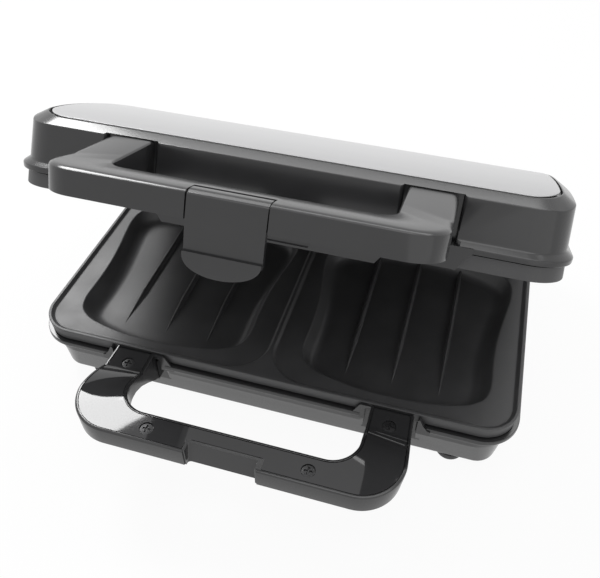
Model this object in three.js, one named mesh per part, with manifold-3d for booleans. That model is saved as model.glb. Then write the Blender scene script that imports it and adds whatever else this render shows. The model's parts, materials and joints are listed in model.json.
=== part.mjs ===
// Two-slice sandwich maker with deep shell pockets, its lid half open as it stands on a worktop.
// Sizes are in millimetres. The rim of the lower cooking plate is the reference level while the
// pieces are made: x runs to the right, y to the back from the front of the rim, z up from the rim.
// At the end the whole object is set down with its feet on z = 0.
import * as THREE from 'three';
import Module from 'manifold-3d';
import { mergeVertices } from 'three/addons/utils/BufferGeometryUtils.js';

const wasm = await Module();
wasm.setup();

// Driving dimensions
const plateHalfWidth = 130;
const plateDepth = 150;
const bodyDepth = 182;
const cornerRadius = 18;
const wall = 2.5;
const seatGap = 0.3;
const slideGap = 0.5;
const overrun = 4;
const openAngleDeg = 24.87;

const steps = { corner: 5, round: 14, head: 10, pocket: 17, pin: 8, tube: 38, tubeSides: 6 };

const hinge = {
  y: 195, z: -2.4, pinRadius: 2.5, pinHead: 4.2, pinHeadHeight: 1.6, boreGap: 0.3,
  lugX: 88, lugWidth: 8, lugRadius: 7.5, lidLugWidth: 9, sideGap: 0.6, rootDrop: 17,
};
// Where the cheeks meet their knuckles, as shares of the knuckle's radius.
const cheekShares = { baseOut: 0.8, baseDown: 0.6, baseUp: 0.5, lidIn: 0.4, lidDown: 0.5, lidOut: 0.7 };

const base = {
  floor: -37, flangeTop: -7.6, flangeThick: 2.5, flangeInset: 6, footHeight: 6,
  beadOut: 2.1, beadMid: -10.4, beadLow: -12.8, wallTopInset: 1, ledge: -18.2, ledgeStep: 0.6,
  bottomInset: 5.3, edgeRound: 2,
};
// How far out the bead stands at its lip, its upper side and its lower side, as shares of its nose.
const beadShares = { lip: 0.8, upper: 1, lower: 0.15 };

const lid = {
  skirtBottom: 0.3, beadLow: 7.8, beadMid: 10.4, beadHigh: 12.8, wallBottomInset: 0.9,
  wallTop: 30.6, wallTopInset: 2.1, wallTopRadius: 17.9, top: 33.8, topRadius: 14.6,
  panelInset: 7.5, panelThick: 0.8, panelGap: 0.9, roof: 2.4,
  bendStart: 56, bendRadius: 276, bendAngleDeg: 8.8,
};

const plate = {
  skirt: 7.3, lipWidth: 2.3, lipDepth: 1.8, lipRound: 0.7, thick: 2.8, sideThick: 2.6, draft: 0.5,
  ridgeHalf: 2, ridgeFlare: 22, ridgeFlareLength: 17, ridgeTop: 0.3,
};

const pocket = {
  sideMargin: 9.3, ridgeMargin: 9.5, front: 8.4, length: 117.3, floor: 12, edgeRound: 0.8,
  wallRun: 4.2, wallDepth: 9.6, filletRun: 8, shell: 2.3,
  ribSpacing: 25.2, ribHalf: 1.3, ribHeight: 3.2, ribFront: 24, ribRise: 22, ribBack: 119,
};
// Half outline of a pocket, from its front middle to its back middle: shares of the half width
// and of the length.
const pocketOutlineShares = [
  [0.108, 0], [0.27, 0.004], [0.406, 0.016], [0.54, 0.027], [0.678, 0.045], [0.773, 0.068],
  [0.851, 0.1], [0.89, 0.143], [0.899, 0.201], [0.89, 0.32], [0.903, 0.457], [0.935, 0.576],
  [0.975, 0.679], [1, 0.768], [0.989, 0.832], [0.926, 0.887], [0.827, 0.926], [0.683, 0.958],
  [0.504, 0.982], [0.288, 0.996], [0.108, 1],
];
const pocketHalfWidth = (plateHalfWidth - pocket.sideMargin - pocket.ridgeMargin) / 2;
const pocketCentreX = pocket.ridgeMargin + pocketHalfWidth;

const lowHandle = {
  halfWidth: 81.5, reach: 56.1, radius: 22, innerHalf: 58.6, innerReach: 40.6, innerRadius: 13.8,
  top: 7.2, bottom: -4.2, armTop: -0.6, creaseY: -14.5, rampEnd: -37, rootDepth: -23,
  armUnder: -24, rootIn: 4.2, rim: 1.6, insertThick: 2.4, wall: 2.4,
  notchHalf: 17.6, notchBack: -50, notchFoot: -53, catchInner: 11.6, catchOuter: 16.4, catchLow: 0.4,
  catchHigh: 3.7, catchBack: -49.4,
};
// Side profiles of the arms: shares of the run, and of the rise or fall.
const rampShares = [[0, 0], [0.15, 0.28], [0.32, 0.54], [0.5, 0.75], [0.7, 0.91], [1, 1]];
const underShares = [[0, 0], [0.22, 0.13], [0.45, 0.38], [0.7, 0.7], [1, 1]];


const lidHandle = {
  halfWidth: 80, reach: 56.1, radius: 15, innerHalf: 58.6, innerReach: 39.5, innerRadius: 9,
  top: 27.1, rootTop: 28.6, bottom: 15.8, bevelIn: 3.4, bevelDown: 1.6, rootIn: 4.2,
  rim: 1.6, insertThick: 2.2, wall: 2.6, levelY: -30, slotBlock: 4,
};

const latch = {
  halfWidth: 16.3, gap: 0.6, slotBack: -46.6, pinY: -50, pinZ: 24, pinRadius: 1.3, knuckle: 2.9,
  thick: 2.6, bendZ: 15.4, stepZ: 3.6, bendIn: 0.5, lipDepth: 7.2, lipOut: 2.8, lipThick: 1.6,
  lipStep: 1.5, lipRoot: 1.2, foot: 1.8, hookTop: 3.3, hookHeight: 1.5, hookTip: -50.3, hookInner: 12.2,
  pinOver: 4.6,
};
// The flap's outline about its pin, as shares of the knuckle's radius, and the hook's sloped tip.
const knuckleShares = { topOut: 0.5, shoulder: 0.8, shoulderDrop: 0.35, round: 0.7, throat: 1.5 };
const hookTipShare = 0.4;

const root = {
  inner: 55, outer: 84, innerRamp: 4.5, outerRamp: 4.5, top: -0.8, front: 2.9, back: 0.4,
  slotIn: 2.6, slotOut: 1.6, slotBack: 3.2, slotWall: 2.4, slotLow: -24.5, slotLap: 2,
  tongueHalf: 53, tongueRamp: 3, tongueDrop: 3.8, windowHalf: 24, windowRamp: 4, windowSill: 1,
  windowDepth: 1.3, windowTop: 6,
};

const screw = { headRadius: 3.2, headHeight: 1.7, shaftRadius: 1.4, holeGap: 0.3, bossRadius: 3.6 };
const crossShares = { reach: 0.62, half: 0.14 };
const handleScrewX = { arm: 69.6, bar: 39.6 };
const handleScrewY = { lowArm: -9.6, lowBar: -48.6, lidArm: -14, lidBar: -47.8 };

const cover = {
  thick: 2.2, gap: 0.4, screwInset: 18, screwFront: 30, screwBack: 152,
  slotCount: 7, slotPitch: 9, slotHalf: 1.6, slotLength: 34,
};
const foot = { inset: 28, front: 13.5, back: 166, radius: 9, tread: 6.5, stemRadius: 3.6, stem: 2.4 };
const footShares = { lowRadius: 0.88, lowHeight: 0.25, highHeight: 0.6 };
const plateScrew = { inset: 13, lugRadius: 7, bossRadius: 4.2, shaft: 4.6 };

const element = {
  radius: 2.6, sideInset: 42, front: 38, back: 104, bend: 20, leadX: 14, leadBend: 10, leadEnd: 132,
};
const clamp = { x: 46, width: 12, thick: 1.2, front: 30, back: 112 };
const reflector = { sideInset: 32, front: 26, back: 113, thick: 0.8, lip: 1.6, radius: 10 };
const thermostat = { y: 48, radius: 8, height: 8.6, tabRadius: 5, tabHeight: 2.4 };
const fuse = { y: 70, length: 26, radius: 2.4 };
const block = { halfWidth: 21, front: 157, depth: 13, height: 12, poleHalf: 4.6, poleUp: 3 };
const gland = {
  x: 62, z: -25, radius: 6.5, flange: 9, flangeThick: 2, tail: 9, tailRadius: 4.9, bore: 3.6, gap: 0.3,
};
const wire = { radius: 1.2, reach: 9, lane: 2, steps: 15, sides: 6 };
const linkShares = { side: 0.75, back: 0.6 };

const looks = {
  plastic: [0x3f3f41, 0.55, 0], gloss: [0x18181a, 0.15, 0], coating: [0x2a2a2c, 0.45, 0.2],
  panel: [0xe2e2e4, 0.35, 0.8], steel: [0xb4b4b8, 0.35, 0.9], rubber: [0x1c1c1c, 0.85, 0],
  ceramic: [0xe8e2d4, 0.6, 0], live: [0x7a4a26, 0.6, 0], neutral: [0x2f55a0, 0.6, 0],
  earth: [0x6f9a2c, 0.6, 0], white: [0xdcdcd8, 0.5, 0], black: [0x202022, 0.6, 0],
};

// Turns a geometry into a solid that can be joined and cut.
function solidFrom(geometry) {
  const bare = geometry.clone();
  for (const name of Object.keys(bare.attributes)) {
    if (name !== 'position') {
      bare.deleteAttribute(name);
    }
  }
  const merged = mergeVertices(bare);
  const mesh = new wasm.Mesh({
    numProp: 3,
    vertProperties: new Float32Array(merged.attributes.position.array),
    triVerts: new Uint32Array(merged.index.array),
  });
  return new wasm.Manifold(mesh);
}

// Turns a solid, or a geometry, into the named mesh of one piece.
function piece(name, shape, look) {
  let geometry = shape;
  if (!shape.isBufferGeometry) {
    const data = shape.getMesh();
    geometry = new THREE.BufferGeometry();
    const points = new Float32Array(data.vertProperties);
    geometry.setAttribute('position', new THREE.BufferAttribute(points, data.numProp));
    geometry.setIndex(new THREE.BufferAttribute(new Uint32Array(data.triVerts), 1));
  }
  geometry.computeVertexNormals();
  const [color, roughness, metalness] = looks[look];
  const material = new THREE.MeshStandardMaterial({ color, roughness, metalness });
  const mesh = new THREE.Mesh(geometry, material);
  mesh.name = name;
  return mesh;
}

function boxSolid(x0, x1, y0, y1, z0, z1) {
  const geometry = new THREE.BoxGeometry(x1 - x0, y1 - y0, z1 - z0);
  geometry.translate((x0 + x1) / 2, (y0 + y1) / 2, (z0 + z1) / 2);
  return solidFrom(geometry);
}

// A cylinder along the named axis, from one end to the other.
function rodSolid(axis, radius, from, to, a, b, sides = steps.round) {
  const geometry = new THREE.CylinderGeometry(radius, radius, to - from, sides);
  const middle = (from + to) / 2;
  if (axis === 'z') {
    geometry.rotateX(Math.PI / 2);
    geometry.translate(a, b, middle);
  } else if (axis === 'x') {
    geometry.rotateZ(Math.PI / 2);
    geometry.translate(middle, a, b);
  } else {
    geometry.translate(a, middle, b);
  }
  return solidFrom(geometry);
}

// The points of an outline, without the ones that its arcs and lines share.
function cleanOutline(shape) {
  const kept = [];
  for (const point of shape.getPoints(steps.corner)) {
    const last = kept[kept.length - 1];
    if (!last || last.distanceTo(point) > seatGap / 10) {
      kept.push(point);
    }
  }
  if (kept[0].distanceTo(kept[kept.length - 1]) < seatGap / 10) {
    kept.pop();
  }
  return new THREE.Shape(kept);
}

// An outline in x and y, raised from z0 to z1.
function raised(outline, z0, z1, bevel = null) {
  const shape = cleanOutline(outline);
  const options = { depth: z1 - z0, bevelEnabled: false };
  if (bevel) {
    options.bevelEnabled = true;
    options.bevelThickness = bevel.down;
    options.bevelSize = bevel.side;
    options.bevelOffset = -bevel.side;
    options.bevelSegments = 2;
    options.depth = z1 - z0 - 2 * bevel.down;
  }
  const geometry = new THREE.ExtrudeGeometry(shape, options);
  geometry.translate(0, 0, bevel ? z0 + bevel.down : z0);
  return solidFrom(geometry);
}

// An outline given in y and z, carried along x from x0 to x1.
function sideways(points, x0, x1) {
  const shape = new THREE.Shape(points.map(([y, z]) => new THREE.Vector2(y, z)));
  const geometry = new THREE.ExtrudeGeometry(shape, { depth: x1 - x0, bevelEnabled: false });
  const turn = new THREE.Matrix4().set(0, 0, 1, x0, 1, 0, 0, 0, 0, 1, 0, 0, 0, 0, 0, 1);
  geometry.applyMatrix4(turn);
  return solidFrom(geometry);
}

// An outline given in x and z, carried along y from y0 to y1.
function frontways(points, y0, y1) {
  const shape = new THREE.Shape(points.map(([x, z]) => new THREE.Vector2(x, z)));
  const geometry = new THREE.ExtrudeGeometry(shape, { depth: y1 - y0, bevelEnabled: false });
  geometry.rotateX(Math.PI / 2);
  geometry.translate(0, y1, 0);
  return solidFrom(geometry);
}

function joined(solids) {
  return solids.reduce((sum, solid) => sum.add(solid));
}

function cutBy(body, tools) {
  return tools.reduce((rest, tool) => rest.subtract(tool), body);
}

// Closed skin through a stack of rings. A ring is its right half, points [x, y, z] from front to
// back; the left half mirrors it about x = middle.
function stacked(rings, middle = 0) {
  const count = rings[0].length;
  const positions = [];
  for (const ring of rings) {
    for (const [x, y, z] of ring) {
      positions.push(middle + x, y, z);
    }
    for (let i = count - 1; i >= 0; i -= 1) {
      positions.push(middle - ring[i][0], ring[i][1], ring[i][2]);
    }
  }
  const around = 2 * count;
  const faces = [];
  for (let level = 0; level < rings.length - 1; level += 1) {
    const low = level * around;
    const high = low + around;
    for (let i = 0; i < around; i += 1) {
      const next = (i + 1) % around;
      faces.push(low + i, low + next, high + next, low + i, high + next, high + i);
    }
  }
  const last = (rings.length - 1) * around;
  for (let i = 0; i < count - 1; i += 1) {
    const left = around - 1 - i;
    faces.push(i, left, left - 1, i, left - 1, i + 1);
    faces.push(last + i, last + left - 1, last + left, last + i, last + i + 1, last + left - 1);
  }
  const geometry = new THREE.BufferGeometry();
  geometry.setAttribute('position', new THREE.BufferAttribute(new Float32Array(positions), 3));
  geometry.setIndex(faces);
  return solidFrom(geometry);
}

// How far the lid's roof falls below its front level at y: level, then an arc, then a slope.
function roofDrop(y) {
  const bend = THREE.MathUtils.degToRad(lid.bendAngleDeg);
  const arc = lid.bendRadius * Math.sin(bend);
  const along = Math.max(0, y - lid.bendStart);
  if (along <= arc) {
    return lid.bendRadius - Math.sqrt(lid.bendRadius ** 2 - along ** 2);
  }
  return lid.bendRadius * (1 - Math.cos(bend)) + (along - arc) * Math.tan(bend);
}

// Right half of a rounded rectangle, grown outwards by out from the plate's rim.
function bodyRing(out, z, depth, fall = 0, radius = Math.max(cornerRadius + out, wall)) {
  const cx = plateHalfWidth + out - radius;
  const front = -out + radius;
  const back = depth + out - radius;
  const arc = lid.bendRadius * Math.sin(THREE.MathUtils.degToRad(lid.bendAngleDeg));
  const ring = [];
  for (let i = 0; i <= steps.corner; i += 1) {
    const angle = (i / steps.corner - 1) * Math.PI / 2;
    ring.push([cx + radius * Math.cos(angle), front + radius * Math.sin(angle)]);
  }
  for (const share of [0, 1 / 3, 2 / 3, 1]) {
    ring.push([cx + radius, lid.bendStart + arc * share]);
  }
  for (let i = 0; i <= steps.corner; i += 1) {
    const angle = i / steps.corner * Math.PI / 2;
    ring.push([cx + radius * Math.cos(angle), back + radius * Math.sin(angle)]);
  }
  return ring.map(([x, y]) => [x, y, z - fall * roofDrop(y)]);
}

// Outline of a rounded rectangle with its own corner radii at the front and the back.
function roundedOutline(halfWidth, front, back, frontRadius, backRadius) {
  const shape = new THREE.Shape();
  shape.moveTo(-halfWidth + frontRadius, front);
  shape.lineTo(halfWidth - frontRadius, front);
  shape.absarc(halfWidth - frontRadius, front + frontRadius, frontRadius, -Math.PI / 2, 0);
  shape.lineTo(halfWidth, back - backRadius);
  shape.absarc(halfWidth - backRadius, back - backRadius, backRadius, 0, Math.PI / 2);
  shape.lineTo(-halfWidth + backRadius, back);
  shape.absarc(-halfWidth + backRadius, back - backRadius, backRadius, Math.PI / 2, Math.PI);
  shape.lineTo(-halfWidth, front + frontRadius);
  shape.absarc(-halfWidth + frontRadius, front + frontRadius, frontRadius, Math.PI, 1.5 * Math.PI);
  return shape;
}

// Points along the half outline of a pocket, moved inwards along their normals by inset.
function pocketRing(inset, z) {
  const points = pocketOutlineShares.map(([across, along]) => new THREE.Vector3(
    across * pocketHalfWidth, pocket.front + along * pocket.length, 0));
  const curve = new THREE.CatmullRomCurve3(points, false, 'centripetal');
  const ring = [];
  for (let i = 0; i <= steps.pocket; i += 1) {
    const share = i / steps.pocket;
    const point = curve.getPointAt(share);
    const tangent = curve.getTangentAt(share);
    if (i === 0 || i === steps.pocket) {
      tangent.set(i === 0 ? 1 : -1, 0, 0);
    }
    ring.push([point.x - tangent.y * inset, point.y + tangent.x * inset, z]);
  }
  return ring;
}

function pocketHollow(side) {
  const land = -plate.lipDepth;
  const rings = [
    pocketRing(pocket.wallRun + pocket.filletRun / 2, -pocket.floor),
    pocketRing(pocket.wallRun + pocket.filletRun / 4, -pocket.floor + pocket.edgeRound / 2),
    pocketRing(pocket.wallRun, -pocket.wallDepth),
    pocketRing(pocket.edgeRound, land - pocket.edgeRound),
    pocketRing(0, land),
    pocketRing(-pocket.edgeRound, overrun),
  ];
  return stacked(rings, side * pocketCentreX);
}

function pocketShell(side) {
  const rings = [
    pocketRing(pocket.wallRun + pocket.filletRun / 2 - pocket.shell, -pocket.floor - pocket.shell),
    pocketRing(pocket.wallRun - pocket.shell / 2, -pocket.wallDepth - pocket.shell),
    pocketRing(-pocket.shell, -plate.lipDepth - pocket.shell / 2),
  ];
  return stacked(rings, side * pocketCentreX);
}

function pocketRib(x) {
  const floor = -pocket.floor;
  const foot = floor - pocket.shell / 2;
  const crest = floor + pocket.ribHeight;
  const profile = [
    [pocket.ribFront, foot], [pocket.ribBack, foot], [pocket.ribBack, crest],
    [pocket.ribFront + pocket.ribRise, crest], [pocket.ribFront, floor],
  ];
  return sideways(profile, x - pocket.ribHalf, x + pocket.ribHalf);
}

// Flared bead between the two pockets, joining the lip at the front and the back.
function plateRidge() {
  const half = plate.ridgeHalf;
  const flare = plate.ridgeFlare;
  const reach = plate.ridgeFlareLength;
  const front = plate.lipWidth / 2;
  const back = plateDepth - front;
  const shape = new THREE.Shape();
  shape.moveTo(-flare, front);
  shape.lineTo(flare, front);
  shape.quadraticCurveTo(half, front, half, reach);
  shape.lineTo(half, plateDepth - reach);
  shape.quadraticCurveTo(half, back, flare, back);
  shape.lineTo(-flare, back);
  shape.quadraticCurveTo(-half, back, -half, plateDepth - reach);
  shape.lineTo(-half, reach);
  shape.quadraticCurveTo(-half, front, -flare, front);
  return raised(shape, -plate.lipDepth - plate.thick / 2, -plate.ridgeTop);
}

function plateScrewSpots() {
  const spots = [];
  const side = plateHalfWidth - plateScrew.inset;
  for (const x of [-side, side]) {
    for (const y of [plateScrew.inset, plateDepth - plateScrew.inset]) {
      spots.push([x, y]);
    }
  }
  return spots;
}

// Cast cooking plate, seen with its pockets up. The upper plate is the same casting turned over.
function cookingPlate() {
  const underside = -plate.lipDepth - plate.thick;
  const outside = stacked([
    bodyRing(-plate.draft, -plate.skirt, plateDepth),
    bodyRing(0, -plate.lipRound * 2, plateDepth),
    bodyRing(-plate.lipRound / 3, -plate.lipRound / 3, plateDepth),
    bodyRing(-plate.lipRound, 0, plateDepth),
  ]);
  const beneath = stacked([
    bodyRing(-plate.sideThick - plate.draft, -plate.skirt - overrun, plateDepth),
    bodyRing(-plate.sideThick, underside, plateDepth),
  ]);
  const tray = stacked([
    bodyRing(-plate.lipWidth - plate.lipRound / 2, -plate.lipDepth, plateDepth),
    bodyRing(-plate.lipWidth, 0, plateDepth),
    bodyRing(-plate.lipWidth + plate.lipRound, overrun, plateDepth),
  ]);
  let body = outside.subtract(beneath).subtract(tray);
  body = joined([body, plateRidge(), pocketShell(-1), pocketShell(1)]);
  body = cutBy(body, [pocketHollow(-1), pocketHollow(1)]);
  for (const side of [-1, 1]) {
    for (const place of [-1, 0, 1]) {
      body = body.add(pocketRib(side * pocketCentreX + place * pocket.ribSpacing));
    }
  }
  for (const [x, y] of plateScrewSpots()) {
    const boss = rodSolid('z', plateScrew.bossRadius, -plate.skirt, underside + plate.thick / 2, x, y);
    const hole = rodSolid('z', screw.shaftRadius + screw.holeGap, -plate.skirt - overrun,
      -plate.skirt + plateScrew.shaft - plate.thick, x, y, steps.pin);
    body = body.add(boss).subtract(hole);
  }
  return body;
}

// Plan outline of a handle: arms back to the body and a bar across the front.
function handleOutline(handle, inset, slot = null) {
  const half = handle.halfWidth - inset;
  const front = -handle.reach + inset;
  const innerHalf = handle.innerHalf + inset;
  const innerFront = -handle.innerReach - inset;
  const radius = handle.radius - inset;
  const innerRadius = handle.innerRadius + inset;
  const back = handle.rootIn;
  const shape = new THREE.Shape();
  shape.moveTo(half, back);
  shape.lineTo(innerHalf, back);
  shape.lineTo(innerHalf, innerFront + innerRadius);
  shape.absarc(innerHalf - innerRadius, innerFront + innerRadius, innerRadius, 0, -Math.PI / 2, true);
  shape.lineTo(-innerHalf + innerRadius, innerFront);
  shape.absarc(-innerHalf + innerRadius, innerFront + innerRadius, innerRadius, -Math.PI / 2, -Math.PI,
    true);
  shape.lineTo(-innerHalf, back);
  shape.lineTo(-half, back);
  shape.lineTo(-half, front + radius);
  shape.absarc(-half + radius, front + radius, radius, Math.PI, 1.5 * Math.PI, false);
  if (slot) {
    shape.lineTo(-slot.half, front);
    shape.lineTo(-slot.half, slot.back);
    shape.lineTo(slot.half, slot.back);
    shape.lineTo(slot.half, front);
  }
  shape.lineTo(half - radius, front);
  shape.absarc(half - radius, front + radius, radius, -Math.PI / 2, 0, false);
  return shape;
}

// Side profile of the lower handle's upper surface, from the bar back to the body.
function lowHandleTop(drop = 0) {
  const rise = lowHandle.top - lowHandle.armTop;
  const run = lowHandle.creaseY - lowHandle.rampEnd;
  const points = rampShares.map(([along, up]) => [
    lowHandle.creaseY - along * run, lowHandle.armTop + up * rise - drop]);
  points.push([-lowHandle.reach - overrun, lowHandle.top - drop]);
  points.unshift([lowHandle.rootIn + overrun, lowHandle.armTop - drop]);
  return points;
}

function lowHandleUnder(lift = 0) {
  const fall = lowHandle.bottom - lowHandle.rootDepth;
  const run = lowHandle.rootIn - lowHandle.armUnder;
  const points = underShares.map(([along, deep]) => [
    lowHandle.armUnder + along * run, lowHandle.bottom - deep * fall + lift]);
  points.unshift([-lowHandle.reach - overrun, lowHandle.bottom + lift]);
  points.push([lowHandle.rootIn + overrun, lowHandle.rootDepth + lift]);
  return points;
}

function lowHandleBand(drop, thick) {
  const upper = lowHandleTop(drop);
  const lower = lowHandleTop(drop + thick).reverse();
  return sideways([...upper, ...lower], -lowHandle.halfWidth - overrun, lowHandle.halfWidth + overrun);
}

function lowHandleSpots() {
  return [
    [-handleScrewX.arm, handleScrewY.lowArm, lowHandle.armTop],
    [-handleScrewX.bar, handleScrewY.lowBar, lowHandle.top],
    [handleScrewX.bar, handleScrewY.lowBar, lowHandle.top],
    [handleScrewX.arm, handleScrewY.lowArm, lowHandle.armTop],
  ];
}

function lowHandleBody() {
  const side = sideways([...lowHandleTop().reverse(), ...lowHandleUnder().reverse()],
    -lowHandle.halfWidth - overrun, lowHandle.halfWidth + overrun);
  const plan = raised(handleOutline(lowHandle, 0), lowHandle.rootDepth - overrun, lowHandle.top + overrun);
  const plateRoom = boxSolid(-lowHandle.halfWidth - overrun, lowHandle.halfWidth + overrun, -root.back,
    lowHandle.rootIn + overrun, base.flangeTop, lowHandle.top);
  return plan.intersect(side).subtract(plateRoom);
}

function lowHandleHollow() {
  const slot = { half: lowHandle.notchHalf + lowHandle.wall, back: lowHandle.notchBack + lowHandle.wall };
  const plan = raised(handleOutline(lowHandle, lowHandle.wall, slot),
    lowHandle.rootDepth - overrun, lowHandle.top + overrun);
  const side = sideways([...lowHandleTop(lowHandle.insertThick).reverse(),
    ...lowHandleUnder(lowHandle.wall).reverse()],
  -lowHandle.halfWidth - overrun, lowHandle.halfWidth + overrun);
  return plan.intersect(side);
}

function lowInsertPlan(inset) {
  const slot = { half: lowHandle.notchHalf + inset, back: lowHandle.notchBack + inset };
  const trimmed = { ...lowHandle, rootIn: -root.back - plate.lipRound - inset };
  return raised(handleOutline(trimmed, inset, slot), lowHandle.rootDepth, lowHandle.top + overrun);
}

function baseHousing() {
  const outside = stacked([
    bodyRing(-base.bottomInset - base.edgeRound, base.floor, bodyDepth),
    bodyRing(-base.bottomInset - base.edgeRound / 4, base.floor + base.edgeRound / 2, bodyDepth),
    bodyRing(-base.bottomInset + base.edgeRound / 8, base.floor + base.edgeRound, bodyDepth),
    bodyRing(-base.wallTopInset - base.ledgeStep * 2, base.ledge, bodyDepth),
    bodyRing(-base.wallTopInset - base.ledgeStep, base.ledge + base.ledgeStep, bodyDepth),
    bodyRing(-base.wallTopInset, base.beadLow - base.ledgeStep, bodyDepth),
    bodyRing(-base.wallTopInset / 3, base.beadLow, bodyDepth),
    bodyRing(base.beadOut * beadShares.lower, base.beadLow + base.ledgeStep * 2, bodyDepth),
    bodyRing(base.beadOut, base.beadMid, bodyDepth),
    bodyRing(base.beadOut * beadShares.upper, base.flangeTop - base.ledgeStep, bodyDepth),
    bodyRing(base.beadOut * beadShares.lip, base.flangeTop, bodyDepth),
  ]);
  const ceiling = base.flangeTop - base.flangeThick;
  const inside = stacked([
    bodyRing(-base.bottomInset - wall, base.floor - overrun, bodyDepth),
    bodyRing(-base.wallTopInset - base.ledgeStep * 2 - wall, base.ledge, bodyDepth),
    bodyRing(-base.wallTopInset - wall, ceiling, bodyDepth),
  ]);
  const mouth = stacked([
    bodyRing(-base.flangeInset, ceiling - overrun, plateDepth),
    bodyRing(-base.flangeInset, base.flangeTop + overrun, plateDepth),
  ]);
  let body = cutBy(outside, [inside, mouth]);
  body = body.add(baseDeck());
  for (const side of [-1, 1]) {
    body = body.add(armRoot(side)).add(hingeLug(side));
    body = body.add(slotBacking(side, lowHandle, root.slotLow - root.slotLap, base.beadMid));
    body = body.subtract(armSlot(side, lowHandle, root.slotLow, overrun));
  }
  body = body.add(lowHandleBody().subtract(lowHandleHollow()));
  body = body.subtract(lowInsertRecess());
  for (const [x, y, z] of lowHandleSpots()) {
    const under = y > lowHandle.armUnder ? lowHandle.rootDepth / 2 : lowHandle.bottom + lowHandle.wall / 2;
    const top = z - lowHandle.insertThick - seatGap;
    body = body.add(rodSolid('z', screw.bossRadius, under, top, x, y));
    body = body.subtract(rodSolid('z', screw.shaftRadius + screw.holeGap, under + screw.shaftRadius,
      top + overrun, x, y, steps.pin));
  }
  body = cutBy(body, latchNotch());
  for (const [x, y] of plateScrewSpots()) {
    body = body.add(rodSolid('z', plateScrew.lugRadius, ceiling, base.flangeTop, x, y));
    body = body.subtract(rodSolid('z', screw.shaftRadius + screw.holeGap, ceiling - overrun,
      base.flangeTop + overrun, x, y, steps.pin));
  }
  for (const [x, y] of coverScrewSpots()) {
    body = body.add(coverBoss(x, y));
  }
  const glandHole = rodSolid('y', gland.radius + gland.gap, bodyDepth - overrun * 3, bodyDepth + overrun,
    gland.x, gland.z);
  return body.subtract(glandHole);
}

// Raised deck behind the cooking plate, which the lid's rear rests over when it is shut.
function baseDeck() {
  const half = plateHalfWidth - wall;
  const front = plateDepth + slideGap * 2;
  const shape = roundedOutline(half, front, bodyDepth, wall, cornerRadius - wall);
  return raised(shape, base.flangeTop - base.flangeThick, root.top);
}

// Room around the root of a handle's arm, so that the arm comes out of a narrow slot in the wall.
function armSlot(side, handle, low, high) {
  const inner = handle.innerHalf - root.slotIn;
  const outer = handle.halfWidth + root.slotOut;
  return boxSolid(Math.min(side * inner, side * outer), Math.max(side * inner, side * outer),
    -handle.reach, root.slotBack, low, high);
}

// Wall behind an arm's slot, lapping the front wall all round.
function slotBacking(side, handle, low, high) {
  const inner = handle.innerHalf - root.slotIn - root.slotLap;
  const outer = handle.halfWidth + root.slotOut + root.slotLap;
  return boxSolid(Math.min(side * inner, side * outer), Math.max(side * inner, side * outer),
    root.slotBack, root.slotBack + root.slotWall, low, high);
}

// Block that closes the gap under the plate's rim beside a handle arm.
function armRoot(side) {
  const low = base.beadMid;
  const shoulder = base.flangeTop;
  const points = [
    [root.inner - root.innerRamp, low], [root.outer + root.outerRamp, low],
    [root.outer + root.outerRamp, shoulder], [root.outer, root.top],
    [root.inner, root.top], [root.inner - root.innerRamp, shoulder],
  ].map(([x, z]) => [side * x, z]);
  if (side < 0) {
    points.reverse();
  }
  return frontways(points, -root.front, -root.back);
}

function hingeLug(side) {
  const x0 = side > 0 ? hinge.lugX : -hinge.lugX - hinge.lugWidth;
  const x1 = x0 + hinge.lugWidth;
  const knuckle = rodSolid('x', hinge.lugRadius, x0, x1, hinge.y, hinge.z);
  const web = sideways([
    [bodyDepth - wall, hinge.z - hinge.rootDrop], [bodyDepth, hinge.z - hinge.rootDrop],
    [hinge.y + hinge.lugRadius * cheekShares.baseOut, hinge.z - hinge.lugRadius * cheekShares.baseDown],
    [hinge.y, hinge.z + hinge.lugRadius * cheekShares.baseUp], [bodyDepth - wall, root.top],
  ], x0, x1);
  const bore = rodSolid('x', hinge.pinRadius + hinge.boreGap, x0 - overrun, x1 + overrun, hinge.y, hinge.z);
  return knuckle.add(web).subtract(bore);
}

function lowInsertRecess() {
  const band = lowHandleBand(-overrun, lowHandle.insertThick + overrun + seatGap);
  return lowInsertPlan(lowHandle.rim).intersect(band);
}

// Recess in the front of the bar for the latch, with a sloped back, and two small pockets in that
// back which the latch's hooks snap into.
function latchNotch() {
  const front = -lowHandle.reach - overrun;
  const notch = sideways([
    [front, lowHandle.bottom - overrun], [lowHandle.notchFoot, lowHandle.bottom - overrun],
    [lowHandle.notchFoot, lowHandle.bottom], [lowHandle.notchBack, lowHandle.top],
    [lowHandle.notchBack, lowHandle.top + overrun], [front, lowHandle.top + overrun],
  ], -lowHandle.notchHalf, lowHandle.notchHalf);
  const pockets = [-1, 1].map((side) => boxSolid(
    Math.min(side * lowHandle.catchInner, side * lowHandle.catchOuter),
    Math.max(side * lowHandle.catchInner, side * lowHandle.catchOuter),
    lowHandle.notchFoot, lowHandle.catchBack, lowHandle.catchLow, lowHandle.catchHigh));
  return [notch, ...pockets];
}

function coverScrewSpots() {
  const spots = [];
  const side = plateHalfWidth - cover.screwInset;
  for (const x of [-side, side]) {
    for (const y of [cover.screwFront, cover.screwBack]) {
      spots.push([x, y]);
    }
  }
  return spots;
}

function coverTop() {
  return base.floor + cover.thick;
}

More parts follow.
